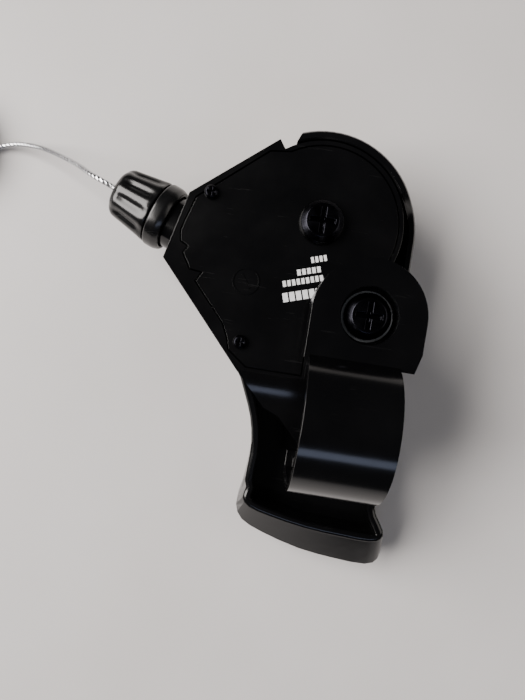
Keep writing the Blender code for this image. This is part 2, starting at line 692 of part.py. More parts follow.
def make_wave_spring(axle):
    """A flat ring bent into waves, which presses the friction pack together."""
    inner = BUSH_INNER + GAP
    outer = inner + WAVE_SPRING_WIDTH
    middle = AXLE_TOP - AXLE_FLANGE_THICKNESS - GAP - WAVE_SPRING_RISE - WAVE_SPRING_THICKNESS / 2
    half = WAVE_SPRING_THICKNESS / 2
    shape = bmesh.new()
    steps = 36
    sections = []
    for i in range(steps):
        angle = 360.0 * i / steps
        z = middle + wavy(angle)
        corners = [(*polar(inner, angle), z - half), (*polar(outer, angle), z - half),
                   (*polar(outer, angle), z + half), (*polar(inner, angle), z + half)]
        sections.append([shape.verts.new(corner) for corner in corners])
    for i in range(steps):
        this, following = sections[i], sections[(i + 1) % steps]
        for k in range(4):
            n = (k + 1) % 4
            shape.faces.new((this[k], following[k], following[n], this[n]))
    bmesh.ops.recalc_face_normals(shape, faces=shape.faces)
    mesh = bpy.data.meshes.new("wave_spring")
    shape.to_mesh(mesh)
    shape.free()
    return place("wave_spring", mesh, axle)


def make_axle_group(axle):
    """The axle, what holds it and the washers that give the lever its friction."""
    screw = screw_with_cross("axle_screw", (0.0, 0.0), DECK_TOP + GAP, AXLE_SCREW_HEAD_RADIUS,
                             AXLE_SCREW_HEAD_HEIGHT, AXLE_SCREW_RADIUS, NUT_BOTTOM, axle)
    washer = ring("axle_washer", SCREW_HOLE_RADIUS, AXLE_WASHER_RADIUS, NUT_TOP + GAP, AXLE_WASHER_TOP, axle)
    nut = hex_nut("axle_nut", AXLE_NUT_FLAT, SCREW_HOLE_RADIUS, NUT_BOTTOM, NUT_TOP, axle)
    disc_bottom = REEL_TOP + GAP
    disc = ring("friction_disc", BUSH_HOLE, FRICTION_RADIUS, disc_bottom, disc_bottom + FRICTION_THICKNESS, axle)
    plate_bottom = disc_bottom + FRICTION_THICKNESS + GAP
    plate = ring("pressure_washer", BUSH_INNER, FRICTION_RADIUS, plate_bottom, plate_bottom + FRICTION_THICKNESS,
                 axle)
    thrust = ring("thrust_washer", THRUST_WASHER_INNER, THRUST_WASHER_OUTER, WEB_TOP + GAP,
                  HOUSING_BOTTOM - GAP, axle)
    bush = ring("lever_bush", BUSH_INNER, BUSH_OUTER, AXLE_BOTTOM + GAP, REEL_TOP - GAP, axle)
    return [make_axle(axle), screw, washer, nut, disc, plate, thrust, bush, make_wave_spring(axle)]


# ---------------------------------------------------------------- reel and its cable

def make_reel(axle):
    groove_radius = REEL_PITCH_RADIUS - CABLE_RADIUS - GAP
    upper = CABLE_HEIGHT + GROOVE_HALF_WIDTH
    lower = CABLE_HEIGHT - GROOVE_HALF_WIDTH
    profile = [(BUSH_HOLE, REEL_TOP), (REEL_HUB_RADIUS, REEL_TOP), (REEL_HUB_RADIUS, upper + FLANGE_THICKNESS),
               (REEL_FLANGE_RADIUS, upper + FLANGE_THICKNESS), (REEL_FLANGE_RADIUS, upper),
               (groove_radius, upper), (groove_radius, lower), (REEL_FLANGE_RADIUS, lower),
               (REEL_FLANGE_RADIUS, lower - FLANGE_THICKNESS), (REEL_HUB_RADIUS, lower - FLANGE_THICKNESS),
               (REEL_HUB_RADIUS, REEL_BOTTOM), (BUSH_HOLE, REEL_BOTTOM)]
    reel = turned("reel", profile, axle, 48, closed=True)
    reach = LEVER_BOSS_RADIUS
    cut(reel, box("dog_slot", (-reach, -DOG_WIDTH / 2 - GAP, REEL_BOTTOM - GAP),
                  (reach, DOG_WIDTH / 2 + GAP, LEVER_BOSS_TOP + DOG_HEIGHT + GAP), axle))
    x, y = nipple_centre()
    pocket = cylinder("nipple_pocket", NIPPLE_RADIUS + GAP, -NIPPLE_LENGTH * 1.15, NIPPLE_LENGTH / 2 + GAP, axle,
                      sides=20, rotation=nipple_turn())
    pocket.location = (x, y, CABLE_HEIGHT)
    return cut(reel, pocket)


def nipple_angle():
    return TANGENT_ANGLE + WRAP_ANGLE + 15.0


def nipple_centre():
    return polar(NIPPLE_PITCH_RADIUS, nipple_angle())


def nipple_turn():
    """Lays a cylinder along the reel's rim, its +Z end towards the end of the cable."""
    return (0.0, math.pi / 2, math.radians(nipple_angle() + 90.0))


def make_cable_on_reel(axle):
    """The wrap in the reel's groove and the nipple that anchors it."""
    x, y = nipple_centre()
    nipple = cylinder("cable_nipple", NIPPLE_RADIUS, -NIPPLE_LENGTH / 2, NIPPLE_LENGTH / 2, axle, sides=20,
                      rotation=nipple_turn())
    nipple.location = (x, y, CABLE_HEIGHT)
    steps = 16
    start = TANGENT_ANGLE + math.degrees(GAP / REEL_PITCH_RADIUS)
    points = [(*polar(REEL_PITCH_RADIUS, start + WRAP_ANGLE * i / steps), CABLE_HEIGHT) for i in range(steps + 1)]
    wrap = tube("cable_wrap", points, CABLE_RADIUS, axle)
    return [smooth_shading(nipple), wrap]


# ---------------------------------------------------------------- barrel adjuster

def make_adjuster(line):
    insert = ring("adjuster_insert", BOLT_RADIUS + GAP, INSERT_RADIUS, INSERT_START, BOSS_END - GAP, line, steps=24)
    collar_profile = [(BOSS_RADIUS + GAP, COLLAR_END), (COLLAR_RADIUS - 0.0003, COLLAR_END),
                      (COLLAR_RADIUS, COLLAR_END - 0.0004), (COLLAR_RADIUS, COLLAR_START + 0.0006),
                      (COLLAR_RADIUS - 0.0005, COLLAR_START), (BOSS_RADIUS + GAP, COLLAR_START)]
    collar = turned("adjuster_collar", collar_profile, line, 40, closed=True)
    cavity_top = KNOB_START + KNOB_CAVITY_DEPTH
    socket = KNOB_END - CASING_SOCKET_DEPTH
    hole = BOLT_RADIUS + GAP
    nose = [(CASING_SOCKET_RADIUS, KNOB_END), (KNOB_TIP_RADIUS, KNOB_END)]
    nose += [(KNOB_TIP_RADIUS + (KNOB_NOSE_RADIUS - KNOB_TIP_RADIUS) * math.sin(math.radians(a)),
              KNOB_END - KNOB_DOME_HEIGHT * (1.0 - math.cos(math.radians(a)))) for a in (30, 60, 90)]
    knob_profile = nose + [(KNOB_BASE_RADIUS, KNOB_START + 0.0004), (KNOB_BASE_RADIUS - 0.0004, KNOB_START),
                           (KNOB_CAVITY_RADIUS, KNOB_START), (KNOB_CAVITY_RADIUS, cavity_top),
                           (hole, cavity_top), (hole, socket), (CASING_SOCKET_RADIUS, socket)]
    knob = turned("adjuster_knob", knob_profile, line, 40, closed=True)
    head_bottom = cavity_top - GAP - BOLT_HEAD_THICKNESS
    bolt_profile = [(BOLT_BORE, socket - GAP), (BOLT_RADIUS, socket - GAP), (BOLT_RADIUS, cavity_top - GAP),
                    (BOLT_HEAD_RADIUS, cavity_top - GAP), (BOLT_HEAD_RADIUS, head_bottom),
                    (BOLT_RADIUS, head_bottom), (BOLT_RADIUS, BOLT_START), (BOLT_BORE, BOLT_START)]
    bolt = turned("adjuster_bolt", bolt_profile, line, 24, closed=True)
    return [insert, collar, knob, bolt, make_adjuster_spring(line)]


def make_adjuster_spring(line):
    """A coil between the housing's boss and the knob, which keeps the knob from rattling round."""
    low = BOSS_END + GAP + SPRING_WIRE_RADIUS
    high = KNOB_START + KNOB_CAVITY_DEPTH - GAP - SPRING_WIRE_RADIUS
    steps = SPRING_TURNS * 12
    points = [(*polar(SPRING_RADIUS, 360.0 * SPRING_TURNS * i / steps), low + (high - low) * i / steps)
              for i in range(steps + 1)]
    return tube("adjuster_spring", points, SPRING_WIRE_RADIUS, line, resolution=1)


# ---------------------------------------------------------------- clamp

def band_outline():
    """The band seen along the handlebar, as (y, z)."""
    outer_radius = BAND_RADIUS + BAND_THICKNESS
    toe_top = DECK_BOTTOM + BAND_TOE_THICKNESS + GAP
    toe_bottom = toe_top - BAND_TOE_THICKNESS
    toe_tip = DECK_END_Y + BAND_TOE_LENGTH
    heel_bottom = BAND_BOTTOM + 0.0010
    boss_side = math.degrees(math.asin((heel_bottom - BAR_Z) / BAND_RADIUS))
    boss_top_side = math.degrees(math.asin((BAND_TOP - 0.0010 - BAR_Z) / outer_radius))
    far_y = BAR_Y - BAND_RADIUS
    outer_y = BAR_Y - outer_radius
    inner = arc(BAND_RADIUS, boss_side, 180.0, 26, BAR_Y, BAR_Z)
    outer = arc(outer_radius, 180.0, boss_top_side, 24, BAR_Y, BAR_Z)
    foot = [(far_y, toe_top), (toe_tip, toe_top), (toe_tip, toe_bottom), (outer_y + 0.0010, toe_bottom),
            (outer_y, toe_bottom + 0.0010)]
    heel = [(BAND_BOSS_END_Y + 0.0020, BAND_TOP - 0.0010), (BAND_BOSS_END_Y + 0.0020, heel_bottom)]
    return list(reversed(inner + foot + outer + heel))


def make_clamp_band(axle):
    """The strap over the bar, one piece with the boss that the screw pulls down."""
    band = extruded("clamp_band", band_outline(), BAND_CENTRE_X - BAND_HALF_WIDTH, BAND_CENTRE_X + BAND_HALF_WIDTH,
                    axle, (math.pi / 2, 0.0, math.pi / 2))
    bevel(band, 0.0007, 2, 50.0)
    centre = (CLAMP_SCREW_X, CLAMP_SCREW_Y)
    boss_outline = arc(BAND_BOSS_RADIUS, 0.0, 180.0, 28, *centre)
    boss_outline += [(CLAMP_SCREW_X - BAND_BOSS_RADIUS, BAND_BOSS_END_Y),
                     (CLAMP_SCREW_X + BAND_BOSS_RADIUS, BAND_BOSS_END_Y)]
    boss = bevel(extruded("band_boss", boss_outline, BAND_BOTTOM, BAND_TOP, axle), 0.0008, 2, 50.0)
    join(band, boss)
    floor = BAND_TOP - COUNTERBORE_DEPTH
    cut(band, cylinder("counterbore", COUNTERBORE_RADIUS, floor, BAND_TOP + GAP, axle, *centre, sides=40))
    cut(band, cylinder("band_hole", CLAMP_SCREW_RADIUS + GAP, BAND_BOTTOM - GAP, BAND_TOP, axle, *centre, sides=24))
    return smooth_shading(band)


def make_clamp_fasteners(axle):
    centre = (CLAMP_SCREW_X, CLAMP_SCREW_Y)
    washer_bottom = BAND_TOP - COUNTERBORE_DEPTH + GAP
    washer_top = washer_bottom + CLAMP_WASHER_THICKNESS
    hole = CLAMP_SCREW_RADIUS + GAP
    washer = ring("clamp_washer", hole, CLAMP_WASHER_RADIUS, washer_bottom, washer_top, axle, *centre)
    nut_bottom = DECK_BOTTOM + GAP
    nut = hex_nut("clamp_nut", CLAMP_NUT_FLAT, hole, nut_bottom, nut_bottom + CLAMP_NUT_HEIGHT, axle, *centre)
    screw = screw_with_cross("clamp_screw", centre, washer_top + GAP, CLAMP_HEAD_RADIUS, CLAMP_HEAD_HEIGHT,
                             CLAMP_SCREW_RADIUS, nut_bottom, axle)
    return [washer, nut, screw]


# ---------------------------------------------------------------- cable outside the drum

def cable_route():
    """The free cable's route from the adjuster's nose down to the coil, chosen by hand."""
    start = adjuster_point(CABLE_EXIT)
    straight = adjuster_point(CABLE_EXIT + 0.0030)
    return [(start.x, start.y, CABLE_HEIGHT), (straight.x, straight.y, 0.01595), (-0.0530, 0.0052, 0.0147),
            (-0.0568, 0.0073, 0.0122), (-0.0633, 0.0101, 0.0082), (-0.0697, 0.0122, 0.0047),
            (-0.0758, 0.0129, 0.0023), (-0.0800, 0.0122, 0.0012), (-0.0838, 0.0106, 0.0012)]


def make_cable(axle, line):
    run = cylinder("inner_cable_run", CABLE_RADIUS, GAP, CABLE_EXIT - GAP, line, sides=12)
    tail = tube("cable_tail", smooth_through(cable_route(), 2), CABLE_RADIUS, axle)
    inner = COIL_MEAN_RADIUS - COIL_WIDTH / 2
    outer = COIL_MEAN_RADIUS + COIL_WIDTH / 2
    bottom = TIE_THICKNESS + GAP
    top = bottom + COIL_HEIGHT
    soft = 0.0012
    profile = [(inner + soft, top), (outer - soft, top), (outer, top - soft), (outer, bottom + soft),
               (outer - soft, bottom), (inner + soft, bottom), (inner, bottom + soft), (inner, top - soft)]
    coil = turned("cable_coil", profile, axle, 40, closed=True, location=(COIL_X, COIL_Y, 0.0))
    tie_outline = [(COIL_X - outer - GAP - TIE_THICKNESS, 0.0), (COIL_X - inner + GAP + TIE_THICKNESS, 0.0),
                   (COIL_X - inner + GAP + TIE_THICKNESS, top + GAP + TIE_THICKNESS),
                   (COIL_X - outer - GAP - TIE_THICKNESS, top + GAP + TIE_THICKNESS)]
    tie = extruded("coil_tie", tie_outline, -TIE_WIDTH / 2, TIE_WIDTH / 2, axle, (math.pi / 2, 0.0, 0.0))
    tie.location.y = COIL_Y
    window = box("tie_window", (COIL_X - outer - GAP, COIL_Y - TIE_WIDTH, TIE_THICKNESS),
                 (COIL_X - inner + GAP, COIL_Y + TIE_WIDTH, top + GAP), axle)
    return [smooth_shading(run, 50.0), tail, coil, cut(tie, window)]


# ---------------------------------------------------------------- materials

FINISHES = {
    "moulded_black": ((0.012, 0.012, 0.014), 0.28, 0.0),
    "satin_black": ((0.016, 0.016, 0.018), 0.42, 0.0),
    "black_steel": ((0.020, 0.020, 0.022), 0.30, 0.6),
    "zinc_steel": ((0.55, 0.56, 0.58), 0.32, 1.0),
    "cable_steel": ((0.62, 0.62, 0.63), 0.28, 1.0),
    "brass": ((0.72, 0.52, 0.22), 0.35, 1.0),
    "white_acetal": ((0.80, 0.80, 0.78), 0.45, 0.0),
    "friction_fibre": ((0.25, 0.13, 0.07), 0.80, 0.0),
    "tie_plastic": ((0.03, 0.03, 0.03), 0.50, 0.0),
}
FINISH_OF = {
    "housing": "moulded_black", "base_plate": "moulded_black", "lever": "moulded_black",
    "lever_cap": "satin_black", "clamp_band": "black_steel", "clamp_screw": "black_steel",
    "axle_screw": "black_steel", "plate_screw_upper": "black_steel", "plate_screw_lower": "black_steel",
    "clamp_washer": "zinc_steel",
    "clamp_nut": "zinc_steel", "main_axle": "zinc_steel", "axle_washer": "zinc_steel",
    "axle_nut": "zinc_steel", "wave_spring": "zinc_steel", "pressure_washer": "zinc_steel",
    "friction_disc": "friction_fibre", "thrust_washer": "white_acetal", "lever_bush": "white_acetal",
    "reel": "white_acetal", "cable_nipple": "zinc_steel", "cable_wrap": "cable_steel",
    "inner_cable_run": "cable_steel", "cable_tail": "cable_steel", "cable_coil": "cable_steel",
    "coil_tie": "tie_plastic", "adjuster_insert": "brass", "adjuster_collar": "satin_black",
    "adjuster_knob": "satin_black", "adjuster_bolt": "zinc_steel", "adjuster_spring": "zinc_steel",
}


def make_material(node, finish):
    """Each sub-part's own material."""
    colour, roughness, metallic = FINISHES[finish]
    material = bpy.data.materials.new(node + "_" + finish)
    material.use_nodes = True
    shader = material.node_tree.nodes["Principled BSDF"]
    shader.inputs["Base Color"].default_value = (*colour, 1.0)
    shader.inputs["Roughness"].default_value = roughness
    shader.inputs["Metallic"].default_value = metallic
    material.diffuse_color = (*colour, 1.0)
    return material


def main():
    for old in list(bpy.data.objects):
        bpy.data.objects.remove(old)
    bpy.context.scene.collection.children.link(parts)
    bpy.context.scene.collection.children.link(cutters)
    axle, line = make_holders()
    make_housing(axle, line)
    make_base_plate(axle)
    make_plate_screws(axle)
    make_lever(axle)
    make_lever_cap(axle)
    make_axle_group(axle)
    make_reel(axle)
    make_cable_on_reel(axle)
    make_adjuster(line)
    make_clamp_band(axle)
    make_clamp_fasteners(axle)
    make_cable(axle, line)
    for piece in parts.objects:
        if piece.type == "MESH":
            piece.data.materials.append(make_material(piece.name, FINISH_OF[piece.name]))


main()
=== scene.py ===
# %% [markdown]
# # A thumb shifter
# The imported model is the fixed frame: every size and place below is read from it or measured from the
# lever's axle. Blender adds what the plain solids lack, which is round edges, ribs, recesses, the stranded
# cable and surfaces that catch light as black mouldings and plated steel do.

# %% Load the frame
import json
import math

import bmesh
import bpy
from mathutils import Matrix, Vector


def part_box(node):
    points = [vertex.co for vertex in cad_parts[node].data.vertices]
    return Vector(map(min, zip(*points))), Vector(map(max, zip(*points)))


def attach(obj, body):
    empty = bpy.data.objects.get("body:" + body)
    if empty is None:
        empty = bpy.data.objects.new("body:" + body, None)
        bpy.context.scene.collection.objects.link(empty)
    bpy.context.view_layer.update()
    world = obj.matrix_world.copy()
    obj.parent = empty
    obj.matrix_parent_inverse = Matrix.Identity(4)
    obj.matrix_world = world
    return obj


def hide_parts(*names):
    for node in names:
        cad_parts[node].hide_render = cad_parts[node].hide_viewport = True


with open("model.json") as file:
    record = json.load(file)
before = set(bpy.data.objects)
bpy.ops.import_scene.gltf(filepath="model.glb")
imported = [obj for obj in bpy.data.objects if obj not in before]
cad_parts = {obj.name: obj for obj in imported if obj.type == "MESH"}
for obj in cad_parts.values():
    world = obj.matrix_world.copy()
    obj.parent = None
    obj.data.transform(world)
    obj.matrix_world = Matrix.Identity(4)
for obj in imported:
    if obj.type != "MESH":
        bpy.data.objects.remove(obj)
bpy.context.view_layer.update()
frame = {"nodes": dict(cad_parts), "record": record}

MM = 0.001
record = frame["record"]
mounts = {mount["name"]: mount for mount in record["mounts"]}


def middle(node):
    """The middle of a CAD node's box."""
    low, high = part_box(node)
    return (low + high) / 2


AXLE = middle("main_axle")
AXLE.z = 0.0
BAR = Vector(mounts["handlebar"]["pos_m"])
LINE_WAY = Vector(mounts["casing_seat"]["axis"])
CABLE_HEIGHT = middle("inner_cable_run").z
print("axle at", [round(v / MM, 2) for v in AXLE.xy], "mm, bar at", [round(v / MM, 2) for v in BAR], "mm")


# %% [markdown]
# ## Camera
# The shifter lies with its clamp up and is looked at from straight above, 140 mm over the table, so tall
# pieces look larger than low ones. The camera is turned a little about its own line of sight. It is a lens
# of 28 mm on a full frame, which is what a telephone sees.

# %% Camera
CAMERA_PLACE = Vector((-7.9, -28.1, 140.0)) * MM      # from the axle, over the table
CAMERA_TURN = math.radians(9.2)
camera_data = bpy.data.cameras.new("camera")
camera_data.lens = 28.39
camera_data.sensor_width = 36.0
camera_data.clip_start = 0.005
camera = bpy.data.objects.new("camera", camera_data)
camera.location = AXLE + CAMERA_PLACE
camera.rotation_euler = (0.0, 0.0, CAMERA_TURN)
bpy.context.scene.collection.objects.link(camera)
bpy.context.scene.camera = camera
print("camera at", [round(v / MM, 1) for v in camera.location], "mm")


# %% [markdown]
# ## Modelling helpers
# Each new piece starts as one of Blender's primitives. A flat outline is a filled circle whose corners are
# put on the outline. A loft extrudes that face again and again, and lays the new corners on the next ring.
# A turned piece is a profile that is spun. After each step the work goes back to object mode with nothing
# selected, because an operator acts on all that is selected.

# %% Helpers for outlines
def polar(radius, degrees, x=0.0, y=0.0):
    """A point at a radius and angle from (x, y), in millimetres from the axle."""
    return (x + radius * math.cos(math.radians(degrees)), y + radius * math.sin(math.radians(degrees)))


def smooth_through(points, pieces):
    """A Catmull-Rom curve through the points."""
    ends = [points[0]] + list(points) + [points[-1]]
    curve = []
    for i in range(1, len(ends) - 2):
        a, b, c, d = (Vector(p) for p in ends[i - 1:i + 3])
        for k in range(pieces):
            t = k / pieces
            curve.append(0.5 * (2 * b + (c - a) * t + (2 * a - 5 * b + 4 * c - d) * t ** 2
                                + (3 * b - a - 3 * c + d) * t ** 3))
    curve.append(Vector(points[-1]))
    return [tuple(p) for p in curve]


def rounded(outline, radius, steps=4):
    """An outline whose corners are cut by arcs of about a radius."""
    soft = []
    for i, point in enumerate(outline):
        here = Vector(point)
        back = Vector(outline[i - 1]) - here
        ahead = Vector(outline[(i + 1) % len(outline)]) - here
        if back.angle(ahead, math.pi) > math.radians(165.0):
            soft.append(tuple(here))
            continue
        reach = min(radius, back.length * 0.45, ahead.length * 0.45)
        start = here + back.normalized() * reach
        end = here + ahead.normalized() * reach
        for k in range(steps + 1):
            t = k / steps
            soft.append(tuple(start * (1 - t) ** 2 + here * 2 * t * (1 - t) + end * t ** 2))
    return soft


# %% Helpers that select and name a piece
def deselect():
    """Back to object mode with nothing selected."""
    if bpy.context.object is not None and bpy.context.object.mode != "OBJECT":
        bpy.ops.object.mode_set(mode="OBJECT")
    bpy.ops.object.select_all(action="DESELECT")


def take(name):
    """Names the primitive that was just added."""
    piece = bpy.context.object
    piece.name = name
    piece.data.name = name
    return piece


def pick(piece):
    """Makes a piece the only selected and the active one."""
    deselect()
    piece.select_set(True)
    bpy.context.view_layer.objects.active = piece
    return piece


# %% [markdown]
# Mouldings and turned pieces need only five shapes: a flat outline, a loft grown from it, a rod, a block and
# a spun profile. Each helper adds one primitive and shapes it in edit mode.

# %% Helpers that make a shape
def outline_face(name, outline, height):
    """A filled circle whose corners lie on an outline, all in millimetres from the axle."""
    deselect()
    bpy.ops.mesh.primitive_circle_add(vertices=len(outline), radius=MM, fill_type="NGON")
    piece = take(name)
    for vertex, (x, y) in zip(piece.data.vertices, outline):
        vertex.co = (x * MM, y * MM, height * MM)
    return piece


def grow(piece, rings):
    """Extrudes a piece's face again and again, laying each new ring of corners on the next ring of points."""
    previous = [vertex.co.copy() for vertex in piece.data.vertices]
    count = len(previous)
    pick(piece)
    bpy.ops.object.mode_set(mode="EDIT")
    bpy.ops.mesh.select_all(action="SELECT")
    for ring in rings:
        bpy.ops.mesh.extrude_region_move(TRANSFORM_OT_translate={"value": (0.0, 0.0, 0.0)})
        shape = bmesh.from_edit_mesh(piece.data)
        face = next(f for f in shape.faces if f.select)
        corners = [loop.vert for loop in face.loops]
        start = min(range(count), key=lambda i: (previous[i] - corners[0].co).length_squared)
        follows = (previous[(start + 1) % count] - corners[1].co).length_squared
        precedes = (previous[start - 1] - corners[1].co).length_squared
        step = 1 if follows < precedes else -1
        for k, corner in enumerate(corners):
            corner.co = Vector(ring[(start + k * step) % count]) * MM
        previous = [Vector(point) * MM for point in ring]
        bmesh.update_edit_mesh(piece.data)
    bpy.ops.mesh.select_all(action="SELECT")
    bpy.ops.mesh.normals_make_consistent(inside=False)
    bpy.ops.object.mode_set(mode="OBJECT")
    return piece


def prism(name, outline, bottom, top):
    """A flat outline extruded between two heights."""
    return grow(outline_face(name, outline, bottom), [[(x, y, top) for x, y in outline]])


def rod(name, radius, bottom, top, sides=64):
    """A cylinder on the axis between two heights, a tool for cutting."""
    deselect()
    bpy.ops.mesh.primitive_cylinder_add(vertices=sides, radius=radius * MM, depth=(top - bottom) * MM,
                                        location=(0.0, 0.0, (top + bottom) / 2 * MM))
    bpy.ops.object.transform_apply()
    return take(name)


def block(name, low, high):
    """A box between two corners."""
    deselect()
    bpy.ops.mesh.primitive_cube_add(size=MM, location=[(a + b) / 2 * MM for a, b in zip(low, high)])
    bpy.context.object.scale = [b - a for a, b in zip(low, high)]
    bpy.ops.object.transform_apply()
    return take(name)


def spun(name, profile, sides=64):
    """A profile of (radius, height) that is spun round Z. Its edge on the axis, if it has one, is removed."""
    deselect()
    bpy.ops.mesh.primitive_circle_add(vertices=len(profile), radius=MM, fill_type="NOTHING")
    piece = take(name)
    for vertex, (radius, height) in zip(piece.data.vertices, profile):
        vertex.co = (radius * MM, 0.0, height * MM)
    bpy.ops.object.mode_set(mode="EDIT")
    shape = bmesh.from_edit_mesh(piece.data)
    on_axis = [edge for edge in shape.edges if all(vertex.co.x < 1e-7 for vertex in edge.verts)]
    bmesh.ops.delete(shape, geom=on_axis, context="EDGES")
    bmesh.update_edit_mesh(piece.data)
    bpy.ops.mesh.select_all(action="SELECT")
    bpy.ops.mesh.spin(steps=sides, angle=math.tau, center=(0.0, 0.0, 0.0), axis=(0.0, 0.0, 1.0))
    bpy.ops.mesh.select_all(action="SELECT")
    bpy.ops.mesh.remove_doubles(threshold=1e-6)
    bpy.ops.mesh.normals_make_consistent(inside=False)
    bpy.ops.object.mode_set(mode="OBJECT")
    return piece


# %% [markdown]
# A modifier is added with its settings and applied at once, so a finished piece is a plain mesh. Cutting and
# joining use the exact Boolean solver.

# %% Helpers that apply a modifier
def applied(piece, kind, **settings):
    """Adds a modifier with its settings and applies it."""
    modifier = pick(piece).modifiers.new(kind.lower(), kind)
    for key, value in settings.items():
        setattr(modifier, key, value)
    bpy.ops.object.modifier_apply(modifier=modifier.name)
    return piece


def rounded_edges(piece, width, segments=3, angle=40.0):
    """Bevels the edges that are sharper than an angle."""
    return applied(piece, "BEVEL", width=width * MM, segments=segments, limit_method="ANGLE",
                   angle_limit=math.radians(angle), harden_normals=False)


def combined(piece, operation, *tools):
    """Cuts tools out of a piece or joins them to it, and removes them."""
    for tool in tools:
        applied(piece, "BOOLEAN", operation=operation, object=tool, solver="EXACT")
        bpy.data.objects.remove(tool)
    return piece


def cut(piece, *tools):
    """Takes each tool's shape out of a piece."""
    return combined(piece, "DIFFERENCE", *tools)


def join(piece, *tools):
    """Adds each tool's shape to a piece."""
    return combined(piece, "UNION", *tools)


# %% [markdown]
# Pieces are modelled round the origin and moved into place last. The adjuster's line runs at a tangent from
# the reel, so a point on it is a distance along the line from the end of a radius of the reel.

# %% Helpers that place a piece
REEL_PITCH_RADIUS = 14.4
LINE_ANGLE = math.degrees(math.atan2(LINE_WAY.y, LINE_WAY.x))
print("adjuster's line at", round(LINE_ANGLE, 2), "degrees")


def moved(piece, location=(0.0, 0.0, 0.0), rotation=(0.0, 0.0, 0.0)):
    """Turns and moves a piece, and puts the place into its mesh."""
    pick(piece)
    piece.rotation_euler = rotation
    piece.location = location
    bpy.ops.object.transform_apply()
    return piece


def in_place(piece):
    """From the axle's own frame to the world's."""
    return moved(piece, AXLE)


def on_line(piece):
    """From a frame whose Z runs along the adjuster's line to the axle's frame."""
    foot = Vector(polar(REEL_PITCH_RADIUS, LINE_ANGLE + 90.0)) * MM
    return moved(piece, (foot.x, foot.y, CABLE_HEIGHT), (0.0, math.pi / 2, math.radians(LINE_ANGLE)))


def line_point(distance):
    """The plan point at a distance in millimetres along the adjuster's line."""
    foot = Vector(polar(REEL_PITCH_RADIUS, LINE_ANGLE + 90.0))
    return foot + Vector(polar(distance, LINE_ANGLE))


# %% [markdown]
# Every piece ends in the same way. It is shaded smooth, gets its material and rides on the body that carries
# it, and the CAD nodes that it stands for are hidden.

# %% The last step of every piece
def finished(piece, material, body, nodes=(), angle=35.0, weighted=False):
    """Smooth shading, the material, the body that it rides on, and hiding the CAD nodes that it stands for.
    """
    pick(piece)
    bpy.ops.object.shade_smooth_by_angle(angle=math.radians(angle))
    if weighted:
        applied(piece, "WEIGHTED_NORMAL", keep_sharp=True, weight=80)
    piece.data.materials.clear()
    piece.data.materials.append(material)
    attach(piece, body)
    if nodes:
        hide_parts(*nodes)
    piece.data.calc_loop_triangles()
    print(piece.name, len(piece.data.loop_triangles), "triangles")
    return piece


# %% [markdown]
# ## Materials
# Black hides nothing: what tells one black from another is how sharp its reflections are. Moulded nylon is
# glossy with a faint orange peel and fine handling scratches, the powder coat on the strap is smoother and
# a little wavy, and black zinc on steel is a dark metal. Every colour is an sRGB hex value turned to
# linear, and every pattern's scale comes from a size in millimetres.

# %% Helpers for materials
def linear(hex_colour):
    """An sRGB hex colour as linear RGBA."""
    values = [int(hex_colour[i:i + 2], 16) / 255 for i in (1, 3, 5)]
    return tuple(v / 12.92 if v <= 0.04045 else ((v + 0.055) / 1.055) ** 2.4 for v in values) + (1.0,)


def per_mm(size_mm):
    """The scale of a texture whose features are about a size in millimetres."""
    return 1.0 / (size_mm * MM)


def new_material(name):
    """A material, its node tree and its shader."""
    material = bpy.data.materials.new(name)
    material.use_nodes = True
    tree = material.node_tree
    return material, tree, tree.nodes["Principled BSDF"]


def add(tree, kind, inputs=None, **settings):
    """Adds a node, sets its properties, and links or sets its inputs."""
    node = tree.nodes.new("ShaderNode" + kind)
    for key, value in settings.items():
        setattr(node, key, value)
    for key, value in (inputs or {}).items():
        if isinstance(value, bpy.types.NodeSocket):
            tree.links.new(value, node.inputs[key])
        else:
            node.inputs[key].default_value = value
    return node


def ramp_between(tree, factor, low, high, colour_low, colour_high):
    """A colour ramp from one colour to another between two values."""
    ramp = add(tree, "ValToRGB", {"Fac": factor})
    ramp.color_ramp.elements[0].position = low
    ramp.color_ramp.elements[0].color = colour_low
    ramp.color_ramp.elements[1].position = high
    ramp.color_ramp.elements[1].color = colour_high
    return ramp.outputs["Color"]


GREY = {level: (level, level, level, 1.0) for level in (0.0, 1.0)}


# %% [markdown]
# Moulded plastics share a recipe: a base colour that varies slightly, roughness that varies with wear, a
# bump of three layers, which are the orange peel of the mould, a fine grain and long scratches. Each
# plastic gets its own numbers. The scratches are a noise that is stretched along one direction, so only its
# thin crests count.

# %% Moulded plastics
SCRATCH_LENGTH = 9.0
WEAR_PATCH = 11.0


